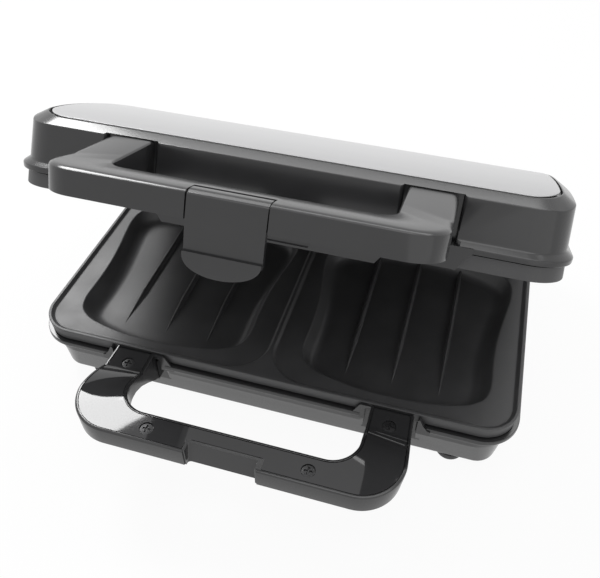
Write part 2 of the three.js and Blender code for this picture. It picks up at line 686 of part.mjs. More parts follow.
function coverBoss(x, y) {
  const side = Math.sign(x);
  const wallX = side * (plateHalfWidth - base.wallTopInset - wall / 2);
  const low = coverTop() + seatGap;
  const high = base.ledge;
  const post = rodSolid('z', screw.bossRadius, low, high, x, y);
  const web = boxSolid(Math.min(x, wallX), Math.max(x, wallX), y - wall / 2, y + wall / 2,
    base.floor + (base.ledge - base.floor) / 2, high);
  const hole = rodSolid('z', screw.shaftRadius + screw.holeGap, low - overrun, high - overrun, x, y,
    steps.pin);
  return post.add(web).subtract(hole);
}

function footSpots() {
  const spots = [];
  const side = plateHalfWidth - foot.inset;
  for (const x of [-side, side]) {
    for (const y of [foot.front, foot.back]) {
      spots.push([x, y]);
    }
  }
  return spots;
}

function bottomCover() {
  const inset = -base.bottomInset - wall - cover.gap;
  const low = base.floor;
  let body = stacked([
    bodyRing(inset, low, bodyDepth),
    bodyRing(inset, coverTop(), bodyDepth),
  ]);
  for (const [x, y] of footSpots()) {
    body = body.subtract(rodSolid('z', foot.stemRadius + seatGap, low - overrun, low + overrun * 2, x, y));
  }
  for (const [x, y] of coverScrewSpots()) {
    body = body.subtract(rodSolid('z', screw.shaftRadius + screw.holeGap, low - overrun, low + overrun * 2,
      x, y, steps.pin));
    const seat = low + cover.thick / 2;
    body = body.subtract(rodSolid('z', screw.headRadius + seatGap, low - overrun, seat, x, y));
  }
  for (let i = 0; i < cover.slotCount; i += 1) {
    const x = (i - (cover.slotCount - 1) / 2) * cover.slotPitch;
    const front = (bodyDepth - cover.slotLength) / 2;
    body = body.subtract(boxSolid(x - cover.slotHalf, x + cover.slotHalf, front, front + cover.slotLength,
      low - overrun, low + overrun * 2));
  }
  return body;
}

function footSolid(x, y) {
  const top = base.floor - seatGap;
  const bottom = base.floor - base.footHeight;
  const stemTop = top + foot.stem;
  const profile = [
    [0, bottom], [foot.tread, bottom],
    [foot.radius * footShares.lowRadius, bottom + base.footHeight * footShares.lowHeight],
    [foot.radius, bottom + base.footHeight * footShares.highHeight], [foot.radius, top],
    [foot.stemRadius, top],
    [foot.stemRadius, stemTop], [0, stemTop],
  ].map(([r, z]) => new THREE.Vector2(r, z));
  const geometry = new THREE.LatheGeometry(profile, steps.head + 2);
  geometry.rotateX(Math.PI / 2);
  geometry.translate(x, y, 0);
  return solidFrom(geometry);
}

// Cross-head screw with its head at the top when up is 1, and at the bottom when up is -1.
function screwSolid(x, y, headSeat, length, up) {
  const headEnd = headSeat + up * screw.headHeight;
  const tip = headSeat - up * length;
  const head = rodSolid('z', screw.headRadius, Math.min(headSeat, headEnd), Math.max(headSeat, headEnd), x, y,
    steps.head);
  const shaft = rodSolid('z', screw.shaftRadius, Math.min(headSeat, tip), Math.max(headSeat, tip), x, y,
    steps.pin);
  const arm = screw.headRadius * crossShares.reach;
  const half = screw.headRadius * crossShares.half;
  const low = Math.min(headEnd, headEnd - up * screw.headHeight / 2);
  const high = Math.max(headEnd, headEnd - up * screw.headHeight / 2);
  const edge = up * screw.headHeight / 2;
  const slotLow = up > 0 ? low : low - Math.abs(edge);
  const slotHigh = up > 0 ? high + Math.abs(edge) : high;
  const slotA = boxSolid(x - arm, x + arm, y - half, y + half, slotLow, slotHigh);
  const slotB = boxSolid(x - half, x + half, y - arm, y + arm, slotLow, slotHigh);
  return head.add(shaft).subtract(slotA).subtract(slotB);
}

function lowHandleInsert() {
  let body = lowInsertPlan(lowHandle.rim + seatGap).intersect(lowHandleBand(0, lowHandle.insertThick));
  for (const [x, y, z] of lowHandleSpots()) {
    body = body.subtract(rodSolid('z', screw.headRadius + seatGap, z - screw.headHeight, z + overrun, x, y));
    body = body.subtract(rodSolid('z', screw.shaftRadius + screw.holeGap, z - overrun, z + overrun, x, y,
      steps.pin));
  }
  return body;
}

// The lid's pieces are made in the shut position and turned about the hinge at the end.
function lidHousing() {
  const outside = stacked([
    bodyRing(base.beadOut * beadShares.lip, lid.beadLow, bodyDepth),
    bodyRing(base.beadOut * beadShares.upper, lid.beadLow + base.ledgeStep, bodyDepth),
    bodyRing(base.beadOut, lid.beadMid, bodyDepth),
    bodyRing(base.beadOut * beadShares.lower, lid.beadHigh - base.ledgeStep * 2, bodyDepth),
    bodyRing(-lid.wallBottomInset / 3, lid.beadHigh, bodyDepth),
    bodyRing(-lid.wallBottomInset, lid.beadHigh + base.ledgeStep / 2, bodyDepth),
    bodyRing(-lid.wallTopInset, lid.wallTop, bodyDepth, 1, lid.wallTopRadius),
    bodyRing(-lid.panelInset, lid.top, bodyDepth, 1, lid.topRadius),
  ]);
  const flange = lid.beadLow + base.flangeThick;
  const inside = stacked([
    bodyRing(-lid.wallBottomInset - wall, flange, bodyDepth),
    bodyRing(-lid.wallBottomInset - wall, lid.beadHigh + base.ledgeStep / 2, bodyDepth),
    bodyRing(-lid.wallTopInset - wall, lid.wallTop - lid.roof, bodyDepth, 1),
    bodyRing(-lid.panelInset - wall / 2, lid.top - lid.panelThick - lid.roof, bodyDepth, 1),
  ]);
  const mouth = stacked([
    bodyRing(-base.flangeInset, lid.beadLow - overrun, plateDepth),
    bodyRing(-base.flangeInset, flange + overrun / 2, plateDepth),
  ]);
  const seatRadius = lid.topRadius - lid.panelGap;
  const panelSeat = stacked([
    bodyRing(-lid.panelInset - lid.panelGap, lid.top - lid.panelThick - seatGap, bodyDepth, 1, seatRadius),
    bodyRing(-lid.panelInset - lid.panelGap, lid.top + overrun, bodyDepth, 1, seatRadius),
  ]);
  let body = cutBy(outside, [inside, mouth, panelSeat]);
  body = body.add(lidDeck()).add(lidSkirt());
  for (const side of [-1, 1]) {
    body = body.add(lidLug(side));
    body = body.add(slotBacking(side, lidHandle, lid.beadMid, lid.wallTop));
    body = body.subtract(armSlot(side, lidHandle, lid.beadMid, lid.wallTop));
  }
  body = body.add(lidHandleBody());
  for (const [x, y] of plateScrewSpots()) {
    body = body.add(rodSolid('z', plateScrew.lugRadius, lid.beadLow, flange, x, y));
    body = body.subtract(rodSolid('z', screw.shaftRadius + screw.holeGap, lid.beadLow - overrun,
      flange + overrun, x, y, steps.pin));
  }
  return body;
}

function topPanel() {
  const out = -lid.panelInset - lid.panelGap - slideGap;
  const radius = lid.topRadius - lid.panelGap - slideGap;
  return stacked([
    bodyRing(out, lid.top - lid.panelThick, bodyDepth, 1, radius),
    bodyRing(out, lid.top - seatGap / 2, bodyDepth, 1, radius),
    bodyRing(out - slideGap, lid.top + seatGap, bodyDepth, 1, radius - slideGap),
  ]);
}

function lidDeck() {
  const half = plateHalfWidth - wall;
  const front = plateDepth + slideGap * 2;
  const shape = roundedOutline(half, front, bodyDepth, wall, cornerRadius - wall);
  return raised(shape, lid.skirtBottom, lid.beadLow + base.flangeThick);
}

// Skirt on the lid's front: it covers the plate's side beside the arms and hangs lower between them.
function lidSkirt() {
  const high = lid.beadMid;
  const shoulder = lid.beadLow;
  const right = [
    [root.tongueHalf - root.tongueRamp, -root.tongueDrop], [root.tongueHalf, lid.skirtBottom],
    [root.outer, lid.skirtBottom], [root.outer + root.outerRamp, shoulder],
    [root.outer + root.outerRamp, high],
  ];
  const left = right.map(([x, z]) => [-x, z]).reverse();
  const skirt = frontways([...right, ...left], -root.front, -root.back);
  const sill = -root.tongueDrop + root.windowSill;
  const window = frontways([
    [root.windowHalf - root.windowRamp, sill], [root.windowHalf, root.windowTop],
    [-root.windowHalf, root.windowTop], [-root.windowHalf + root.windowRamp, sill],
  ], -root.front - overrun, -root.front + root.windowDepth);
  return skirt.subtract(window);
}

function lidLug(side) {
  const inner = hinge.lugX - hinge.sideGap - hinge.lidLugWidth;
  const x0 = side > 0 ? inner : -inner - hinge.lidLugWidth;
  const x1 = x0 + hinge.lidLugWidth;
  const knuckle = rodSolid('x', hinge.lugRadius, x0, x1, hinge.y, hinge.z);
  const web = sideways([
    [bodyDepth - wall, lid.skirtBottom + seatGap], [bodyDepth + wall, lid.skirtBottom + seatGap],
    [hinge.y - hinge.lugRadius * cheekShares.lidIn, hinge.z - hinge.lugRadius * cheekShares.lidDown],
    [hinge.y + hinge.lugRadius * cheekShares.lidOut, hinge.z + hinge.lugRadius * cheekShares.lidOut],
    [bodyDepth + base.beadOut, lid.beadHigh], [bodyDepth - wall, lid.beadHigh],
  ], x0, x1);
  const bore = rodSolid('x', hinge.pinRadius + hinge.boreGap, x0 - overrun, x1 + overrun, hinge.y, hinge.z);
  return knuckle.add(web).subtract(bore);
}

function lidHandleProfile(lift, under) {
  return [
    [-lidHandle.reach - overrun, lidHandle.bottom + under],
    [lidHandle.rootIn + overrun, lidHandle.bottom + under],
    [lidHandle.rootIn + overrun, lidHandle.rootTop - lift],
    [lidHandle.levelY, lidHandle.top - lift],
    [-lidHandle.reach - overrun, lidHandle.top - lift],
  ];
}

function lidHandleSpots() {
  return [
    [-handleScrewX.arm, handleScrewY.lidArm], [-handleScrewX.bar, handleScrewY.lidBar],
    [handleScrewX.bar, handleScrewY.lidBar], [handleScrewX.arm, handleScrewY.lidArm],
  ];
}

function lidHandleBody() {
  const span = lidHandle.halfWidth + overrun;
  const outline = roundedOutline(lidHandle.halfWidth, -lidHandle.reach, lidHandle.rootIn + lidHandle.radius,
    lidHandle.radius, lidHandle.radius);
  const bevel = { side: lidHandle.bevelIn, down: lidHandle.bevelDown };
  const block = raised(outline, lidHandle.bottom - overrun, lidHandle.top, bevel);
  const arms = raised(outline, lidHandle.bottom - overrun, lidHandle.top - bevel.down);
  const rootPart = raised(outline, lidHandle.bottom, lidHandle.rootTop, bevel)
    .intersect(boxSolid(-span, span, lidHandle.levelY, lidHandle.rootIn + lidHandle.radius,
      lidHandle.bottom, lidHandle.rootTop + overrun));
  const side = sideways(lidHandleProfile(0, 0), -span, span);
  const opening = raised(roundedOutline(lidHandle.innerHalf, -lidHandle.innerReach,
    lidHandle.rootIn + overrun * 3, lidHandle.innerRadius, lidHandle.wall),
  lidHandle.bottom - overrun, lidHandle.rootTop + overrun);
  const cutBack = boxSolid(-span, span, lidHandle.rootIn, lidHandle.rootIn + lidHandle.radius + overrun,
    lidHandle.bottom - overrun, lidHandle.rootTop + overrun);
  let body = joined([block, arms, rootPart]).intersect(side).subtract(opening).subtract(cutBack);
  const slotHalf = latch.halfWidth + latch.gap;
  const slot = { half: slotHalf + lidHandle.slotBlock, back: latch.slotBack + lidHandle.slotBlock / 2 };
  const hollow = raised(handleOutline({ ...lidHandle, rootIn: 0 }, lidHandle.wall, slot),
    lidHandle.bottom - overrun, lidHandle.top - lidHandle.wall);
  const recess = raised(handleOutline({ ...lidHandle, rootIn: 0 }, lidHandle.rim),
    lidHandle.bottom - overrun, lidHandle.bottom + lidHandle.insertThick + seatGap);
  body = body.subtract(hollow).subtract(recess);
  for (const [x, y] of lidHandleSpots()) {
    const low = lidHandle.bottom + lidHandle.insertThick + seatGap;
    body = body.add(rodSolid('z', screw.bossRadius, low, lidHandle.top - lidHandle.wall / 2, x, y));
    body = body.subtract(rodSolid('z', screw.shaftRadius + screw.holeGap, low - overrun,
      lidHandle.top - lidHandle.wall, x, y, steps.pin));
  }
  const latchSlot = boxSolid(-slotHalf, slotHalf, -lidHandle.reach - overrun, latch.slotBack,
    lidHandle.bottom - overrun, lidHandle.rootTop + overrun);
  const pinHole = rodSolid('x', latch.pinRadius + hinge.boreGap, -slotHalf - latch.pinOver,
    slotHalf + latch.pinOver, latch.pinY, latch.pinZ, steps.pin);
  return body.subtract(latchSlot).subtract(pinHole);
}

function lidHandleInsert() {
  const slotHalf = latch.halfWidth + latch.gap * 2;
  const trimmed = { ...lidHandle, rootIn: -seatGap };
  const plan = raised(handleOutline(trimmed, lidHandle.rim + seatGap), lidHandle.bottom,
    lidHandle.bottom + lidHandle.insertThick);
  const slot = boxSolid(-slotHalf, slotHalf, -lidHandle.reach - overrun, latch.slotBack + latch.gap,
    lidHandle.bottom - overrun, lidHandle.top);
  let body = plan.subtract(slot);
  for (const [x, y] of lidHandleSpots()) {
    body = body.subtract(rodSolid('z', screw.headRadius + seatGap, lidHandle.bottom - overrun,
      lidHandle.bottom + screw.headHeight, x, y));
    body = body.subtract(rodSolid('z', screw.shaftRadius + screw.holeGap, lidHandle.bottom - overrun,
      lidHandle.bottom + overrun, x, y, steps.pin));
  }
  return body;
}

// Latch flap: a knuckle on its pin, a face flush with the bar, two hooks behind, a flared finger lip.
function latchClip() {
  const half = latch.halfWidth;
  const face = -lidHandle.reach;
  const top = lidHandle.top;
  const back = face + latch.thick;
  const { pinY, pinZ, knuckle } = latch;
  const profile = [
    [face, top - lidHandle.bevelDown], [face + lidHandle.bevelIn, top],
    [pinY + knuckle * knuckleShares.topOut, top],
    [pinY + knuckle * knuckleShares.shoulder, top - knuckle * knuckleShares.shoulderDrop],
    [pinY + knuckle, pinZ],
    [pinY + knuckle * knuckleShares.round, pinZ - knuckle * knuckleShares.round],
    [pinY, pinZ - knuckle], [back, pinZ - knuckle * knuckleShares.throat],
    [back, latch.bendZ], [back + latch.bendIn, latch.hookTop], [back + latch.bendIn, latch.foot],
    [face - latch.lipStep / 2, latch.foot], [face - latch.lipStep / 2, latch.stepZ - latch.bendIn],
    [face + latch.bendIn, latch.stepZ], [face, latch.bendZ],
  ].reverse();
  const flap = sideways(profile, -half, half);
  const bore = rodSolid('x', latch.pinRadius + hinge.boreGap, -half - overrun, half + overrun,
    latch.pinY, latch.pinZ, steps.pin);
  return joined([flap.subtract(bore), latchHook(-1), latchHook(1), latchLip()]);
}

// Hook at one end of the flap's foot: flat on top, sloped beneath.
function latchHook(side) {
  const start = -lidHandle.reach + latch.thick;
  const low = latch.hookTop - latch.hookHeight;
  const profile = [
    [start, low], [start, latch.hookTop], [latch.hookTip, latch.hookTop],
    [latch.hookTip, latch.hookTop - latch.hookHeight * hookTipShare],
  ].reverse();
  const inner = side * latch.hookInner;
  const outer = side * (lowHandle.catchOuter - latch.gap);
  return sideways(profile, Math.min(inner, outer), Math.max(inner, outer));
}

function latchLip() {
  const half = latch.halfWidth;
  const shape = new THREE.Shape();
  shape.moveTo(half, 0);
  shape.lineTo(half, latch.lipRoot);
  shape.lineTo(-half, latch.lipRoot);
  shape.lineTo(-half, 0);
  shape.absellipse(0, 0, half, latch.lipDepth, Math.PI, 2 * Math.PI, false, 0);
  const geometry = new THREE.ExtrudeGeometry(shape, {
    depth: latch.lipThick, bevelEnabled: false, curveSegments: steps.round,
  });
  geometry.rotateX(Math.PI / 2);
  geometry.translate(0, latch.lipThick, 0);
  geometry.rotateX(-Math.asin(latch.lipOut / latch.lipDepth));
  geometry.translate(0, -lidHandle.reach - latch.lipStep, latch.stepZ - latch.lipRoot);
  return solidFrom(geometry);
}

// Sheathed heating element: a flat loop under the pockets with its two ends led to the back.
function elementTube(level) {
  const e = { ...element, halfWidth: plateHalfWidth - element.sideInset };
  const lead = e.leadX + e.leadBend;
  const path = new THREE.CurvePath();
  const corner = (x0, y0, cx, cy, x1, y1) => new THREE.QuadraticBezierCurve3(
    new THREE.Vector3(x0, y0, level), new THREE.Vector3(cx, cy, level), new THREE.Vector3(x1, y1, level));
  const run = (x0, y0, x1, y1) => new THREE.LineCurve3(
    new THREE.Vector3(x0, y0, level), new THREE.Vector3(x1, y1, level));
  path.add(run(e.leadX, e.leadEnd, e.leadX, e.back + e.leadBend));
  path.add(corner(e.leadX, e.back + e.leadBend, e.leadX, e.back, lead, e.back));
  path.add(run(lead, e.back, e.halfWidth - e.bend, e.back));
  path.add(corner(e.halfWidth - e.bend, e.back, e.halfWidth, e.back, e.halfWidth, e.back - e.bend));
  path.add(run(e.halfWidth, e.back - e.bend, e.halfWidth, e.front + e.bend));
  path.add(corner(e.halfWidth, e.front + e.bend, e.halfWidth, e.front, e.halfWidth - e.bend, e.front));
  path.add(run(e.halfWidth - e.bend, e.front, -e.halfWidth + e.bend, e.front));
  path.add(corner(-e.halfWidth + e.bend, e.front, -e.halfWidth, e.front, -e.halfWidth, e.front + e.bend));
  path.add(run(-e.halfWidth, e.front + e.bend, -e.halfWidth, e.back - e.bend));
  path.add(corner(-e.halfWidth, e.back - e.bend, -e.halfWidth, e.back, -e.halfWidth + e.bend, e.back));
  path.add(run(-e.halfWidth + e.bend, e.back, -lead, e.back));
  path.add(corner(-lead, e.back, -e.leadX, e.back, -e.leadX, e.back + e.leadBend));
  path.add(run(-e.leadX, e.back + e.leadBend, -e.leadX, e.leadEnd));
  return tubeAlong(path, e.radius, steps.tube);
}

function tubeAlong(path, radius, count, sides = steps.tubeSides) {
  const shape = new THREE.Shape();
  for (let i = 0; i < sides; i += 1) {
    const angle = i / sides * 2 * Math.PI;
    const x = radius * Math.cos(angle);
    const y = radius * Math.sin(angle);
    if (i === 0) {
      shape.moveTo(x, y);
    } else {
      shape.lineTo(x, y);
    }
  }
  const settings = { steps: count, bevelEnabled: false, extrudePath: path };
  const geometry = new THREE.ExtrudeGeometry(shape, settings);
  return solidFrom(geometry);
}

function clampStrip(side, near, far) {
  const x = side * clamp.x;
  return boxSolid(x - clamp.width / 2, x + clamp.width / 2, clamp.front, clamp.back,
    Math.min(near, far), Math.max(near, far));
}

// Heat shield: a shallow folded tray whose edge turns away from the element.
function heatShield(near, away) {
  const low = Math.min(near, near + away * reflector.lip);
  const high = Math.max(near, near + away * reflector.lip);
  const r = reflector.radius;
  const half = plateHalfWidth - reflector.sideInset;
  const outer = raised(roundedOutline(half, reflector.front, reflector.back, r, r), low, high);
  const t = reflector.thick;
  const inner = raised(roundedOutline(half - t, reflector.front + t, reflector.back - t, r - t, r - t),
    away > 0 ? near + t : low - overrun, away > 0 ? high + overrun : near - t);
  return outer.subtract(inner);
}

function thermostatSolid() {
  const top = -plate.lipDepth - plate.thick - seatGap;
  const can = rodSolid('z', thermostat.radius, top - thermostat.height, top, 0, thermostat.y);
  const tab = rodSolid('z', thermostat.tabRadius, top - thermostat.height - thermostat.tabHeight,
    top - thermostat.height, 0, thermostat.y);
  return can.add(tab);
}

function fuseSolid() {
  const z = -plate.lipDepth - plate.thick - seatGap - fuse.radius;
  return rodSolid('y', fuse.radius, fuse.y, fuse.y + fuse.length, 0, z);
}

function terminalBlock() {
  const floor = coverTop() + seatGap;
  const body = boxSolid(-block.halfWidth, block.halfWidth, block.front, block.front + block.depth,
    floor, floor + block.height);
  const pitch = block.halfWidth * 2 / 3;
  const back = block.front + block.depth + overrun;
  let result = body;
  for (const place of [-1, 0, 1]) {
    const pole = boxSolid(place * pitch - block.poleHalf, place * pitch + block.poleHalf,
      block.front + block.poleUp, block.front + block.depth - block.poleUp,
      floor + block.height, floor + block.height + block.poleUp);
    const hole = rodSolid('y', wire.radius + seatGap, block.front - overrun, back, place * pitch,
      floor + block.height / 2, steps.pin);
    result = result.add(pole).subtract(hole);
  }
  return result;
}

function glandSolid() {
  const outerFace = bodyDepth - base.wallTopInset + slideGap;
  const flange = rodSolid('y', gland.flange, outerFace, outerFace + gland.flangeThick, gland.x, gland.z);
  const neck = rodSolid('y', gland.radius, outerFace - wall * 3, outerFace, gland.x, gland.z);
  const tail = rodSolid('y', gland.tailRadius, outerFace, outerFace + gland.tail, gland.x, gland.z);
  const bore = rodSolid('y', gland.bore, outerFace - wall * 3 - overrun, outerFace + gland.tail + overrun,
    gland.x, gland.z);
  return joined([flange, neck, tail]).subtract(bore);
}

function wireAlong(points) {
  const route = points.map(([x, y, z]) => new THREE.Vector3(x, y, z));
  const path = new THREE.CatmullRomCurve3(route, false, 'centripetal');
  return tubeAlong(path, wire.radius, wire.steps, wire.sides);
}

// From a pole of the terminal block, place -1, 0 or 1, forward and up to its connection.
function poleWire(place, points) {
  const x = place * block.halfWidth * 2 / 3;
  const z = coverTop() + seatGap + block.height / 2;
  const start = [x, block.front - seatGap, z];
  const bend = [x, block.front - wire.reach, z + wire.reach / 4];
  return wireAlong([start, bend, ...points]);
}

function buildWires(add, tubeLevel) {
  const joint = element.leadEnd + seatGap;
  const back = joint + wire.reach;
  const under = -plate.lipDepth - plate.thick - seatGap;
  const fuseLevel = under - fuse.radius;
  const fuseEnd = fuse.y + fuse.length + seatGap;
  add('wire_neutral', poleWire(1, [
    [element.leadX, back, tubeLevel - wire.reach / 4], [element.leadX, joint, tubeLevel]]), 'neutral');
  add('wire_earth', poleWire(0, [
    [wire.reach / 3, back, tubeLevel], [wire.reach / 2, joint, under - wire.reach],
    [wire.reach / 2, joint, under - wire.radius / 2]]), 'earth');
  add('wire_live', poleWire(-1, [
    [-wire.reach, back, tubeLevel + wire.radius], [-wire.lane, joint - wire.reach, fuseLevel - wire.radius],
    [0, fuseEnd + wire.reach, fuseLevel], [0, fuseEnd, fuseLevel]]), 'live');
  const tab = under - thermostat.height - thermostat.tabHeight / 2;
  const tabEdge = thermostat.y + thermostat.tabRadius + seatGap;
  add('wire_link', wireAlong([
    [0, tabEdge, tab], [0, tabEdge + wire.reach, tab], [wire.lane / 2, fuseEnd, tab],
    [-element.leadX / 3, joint, tubeLevel],
    [-element.leadX * linkShares.side, joint + wire.reach * linkShares.back, tubeLevel],
    [-element.leadX, joint + wire.reach / 3, tubeLevel], [-element.leadX, joint, tubeLevel]]), 'live');
}

function buildBase() {
  const group = new THREE.Group();
  const add = (name, shape, look) => group.add(piece(name, shape, look));
  add('base_housing', baseHousing(), 'plastic');
  add('base_bottom_cover', bottomCover(), 'black');
  add('lower_grill_plate', cookingPlate(), 'coating');
  add('lower_handle_insert', lowHandleInsert(), 'gloss');
  lowHandleSpots().forEach(([x, y, z], i) => {
    add(`lower_handle_screw_${i + 1}`,
      screwSolid(x, y, z - screw.headHeight + seatGap, lowHandle.insertThick + screw.bossRadius, 1), 'steel');
  });
  const pocketBottom = -pocket.floor - pocket.shell;
  const tubeLevel = pocketBottom - seatGap - element.radius;
  add('lower_heating_element', elementTube(tubeLevel), 'steel');
  const clampTop = tubeLevel - element.radius - seatGap;
  add('lower_element_clamp_left', clampStrip(-1, clampTop, clampTop - clamp.thick), 'steel');
  add('lower_element_clamp_right', clampStrip(1, clampTop, clampTop - clamp.thick), 'steel');
  add('lower_heat_shield', heatShield(clampTop - clamp.thick - seatGap, -1), 'steel');
  add('thermostat', thermostatSolid(), 'black');
  add('thermal_fuse', fuseSolid(), 'white');
  add('terminal_block', terminalBlock(), 'ceramic');
  buildWires(add, tubeLevel);
  add('cord_gland', glandSolid(), 'rubber');
  footSpots().forEach(([x, y], i) => add(`foot_${i + 1}`, footSolid(x, y), 'rubber'));
  coverScrewSpots().forEach(([x, y], i) => {
    const seat = base.floor + cover.thick / 2 - seatGap;
    add(`cover_screw_${i + 1}`, screwSolid(x, y, seat, cover.thick + screw.bossRadius, -1), 'steel');
  });
  plateScrewSpots().forEach(([x, y], i) => {
    const seat = base.flangeTop - base.flangeThick - seatGap;
    add(`lower_plate_screw_${i + 1}`, screwSolid(x, y, seat, plateScrew.shaft, -1), 'steel');
  });
  for (const [label, side] of [['left', -1], ['right', 1]]) {
    add(`hinge_pin_${label}`, hingePin(side), 'steel');
  }
  return group;
}

function hingePin(side) {
  const inner = hinge.lugX - hinge.sideGap - hinge.lidLugWidth - hinge.sideGap;
  const outer = hinge.lugX + hinge.lugWidth + hinge.sideGap;
  const a = Math.min(side * inner, side * outer);
  const b = Math.max(side * inner, side * outer);
  const shaft = rodSolid('x', hinge.pinRadius, a, b, hinge.y, hinge.z);
  const headIn = side > 0 ? b : a - hinge.pinHeadHeight;
  const head = rodSolid('x', hinge.pinHead, headIn, headIn + hinge.pinHeadHeight, hinge.y, hinge.z);
  return shaft.add(head);
}

// Mirrors a plate about its rim and lifts it, so that the same casting faces down.
function turnedOver(solid, lift) {
  const data = solid.getMesh();
  const geometry = new THREE.BufferGeometry();
  const points = new Float32Array(data.vertProperties);
  for (let i = 2; i < points.length; i += 3) {
    points[i] = lift - points[i];
  }
  const faces = new Uint32Array(data.triVerts);
  for (let i = 0; i < faces.length; i += 3) {
    [faces[i], faces[i + 1]] = [faces[i + 1], faces[i]];
  }
  geometry.setAttribute('position', new THREE.BufferAttribute(points, 3));
  geometry.setIndex(new THREE.BufferAttribute(faces, 1));
  return geometry;
}

function buildLid() {
  const group = new THREE.Group();
  const add = (name, shape, look) => group.add(piece(name, shape, look));
  const lift = lid.skirtBottom;
  add('lid_housing', lidHousing(), 'plastic');
  add('lid_top_panel', topPanel(), 'panel');
  add('lid_handle_insert', lidHandleInsert(), 'gloss');
  lidHandleSpots().forEach(([x, y], i) => {
    const seat = lidHandle.bottom + screw.headHeight - seatGap;
    add(`lid_handle_screw_${i + 1}`,
      screwSolid(x, y, seat, lidHandle.insertThick + screw.bossRadius, -1), 'steel');
  });
  add('upper_grill_plate', turnedOver(cookingPlate(), lift), 'coating');
  const tubeLevel = lift + pocket.floor + pocket.shell + seatGap + element.radius;
  add('upper_heating_element', elementTube(tubeLevel), 'steel');
  const clampLow = tubeLevel + element.radius + seatGap;
  add('upper_element_clamp_left', clampStrip(-1, clampLow, clampLow + clamp.thick), 'steel');
  add('upper_element_clamp_right', clampStrip(1, clampLow, clampLow + clamp.thick), 'steel');
  add('upper_heat_shield', heatShield(clampLow + clamp.thick + seatGap, 1), 'steel');
  plateScrewSpots().forEach(([x, y], i) => {
    const seat = lid.beadLow + base.flangeThick + seatGap;
    add(`upper_plate_screw_${i + 1}`, screwSolid(x, y, seat, plateScrew.shaft, 1), 'steel');
  });
  const pinEnd = latch.halfWidth + latch.gap + latch.pinOver - seatGap;
  const pin = rodSolid('x', latch.pinRadius, -pinEnd, pinEnd, latch.pinY, latch.pinZ, steps.pin);
  add('latch_pin', pin, 'steel');
  add('latch_clip', latchClip(), 'plastic');
  return group;
}

const group = new THREE.Group();
const lowerGroup = buildBase();
const lidPieces = buildLid();
lidPieces.position.set(0, -hinge.y, -hinge.z);
const lidGroup = new THREE.Group();
lidGroup.add(lidPieces);
lidGroup.position.set(0, hinge.y, hinge.z);
lidGroup.rotation.x = -THREE.MathUtils.degToRad(openAngleDeg);
const placed = new THREE.Group();
placed.add(lowerGroup, lidGroup);
group.add(placed);

// The origin is the middle of the object's box, on the surface that it stands on.
group.updateMatrixWorld(true);
const box = new THREE.Box3().setFromObject(group, true);
placed.position.set(0, -(box.min.y + box.max.y) / 2, -(base.floor - base.footHeight));

export default group;
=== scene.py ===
import json
import math

import bmesh
import bpy
import numpy as np
from mathutils import Matrix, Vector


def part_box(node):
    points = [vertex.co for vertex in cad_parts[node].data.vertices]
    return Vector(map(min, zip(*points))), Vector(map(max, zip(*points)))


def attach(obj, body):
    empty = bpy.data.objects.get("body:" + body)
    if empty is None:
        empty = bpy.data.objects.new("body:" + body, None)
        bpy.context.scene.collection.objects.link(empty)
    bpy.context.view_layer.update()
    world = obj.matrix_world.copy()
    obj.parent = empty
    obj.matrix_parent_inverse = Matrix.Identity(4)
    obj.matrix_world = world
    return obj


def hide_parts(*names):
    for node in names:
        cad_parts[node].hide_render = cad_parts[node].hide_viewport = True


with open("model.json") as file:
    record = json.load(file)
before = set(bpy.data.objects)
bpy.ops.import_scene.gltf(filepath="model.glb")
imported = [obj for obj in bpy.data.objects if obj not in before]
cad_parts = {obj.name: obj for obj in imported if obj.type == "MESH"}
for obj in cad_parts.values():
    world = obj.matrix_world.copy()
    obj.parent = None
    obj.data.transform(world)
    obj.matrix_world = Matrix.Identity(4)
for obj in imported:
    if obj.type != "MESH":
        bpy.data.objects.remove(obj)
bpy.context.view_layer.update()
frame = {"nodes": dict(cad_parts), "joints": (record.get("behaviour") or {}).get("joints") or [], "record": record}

# Shared places. Lengths are in mm from the front middle of the lower plate's rim, z up from the rim.
plateLow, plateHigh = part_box("lower_grill_plate")
rimShift = np.array([0.0, plateLow.y, plateHigh.z])  # from the rim's own frame to the row frame, m
lidJoint = next(j for j in frame["joints"] if j["name"] == "lid_hinge")
hingeRow = np.array(lidJoint["pos_m"])
openAngle = -math.radians(lidJoint["range_deg"][0])  # the stored pose stands this far from shut
body = {"halfWidth": 130.0, "plateDepth": 150.0, "depth": 182.0, "corner": 18.0}
# the lid's roof line from front to back: place and rise above its front edge
roofLine = [
    (7.5, 0), (12, 0.7), (19, 1.6), (30, 2.2), (41, 2.15), (53, 1.65), (66, 0.8), (81, -0.6), (98, -2.7),
    (120, -6.1), (150, -10.7), (184, -16.0),
]
hingeAt = (hingeRow - rimShift) * 1000


def toRow(points, lidSide=False):
    # mm in the rim's frame to metres in the row frame; a lid point is then turned open about the hinge
    rows = np.asarray(points, float).reshape(-1, 3) / 1000 + rimShift
    if lidSide:
        y, z = rows[:, 1] - hingeRow[1], rows[:, 2] - hingeRow[2]
        turnedY = hingeRow[1] + y * math.cos(openAngle) + z * math.sin(openAngle)
        turnedZ = hingeRow[2] - y * math.sin(openAngle) + z * math.cos(openAngle)
        rows = np.column_stack([rows[:, 0], turnedY, turnedZ])
    return rows


# Mesh makers

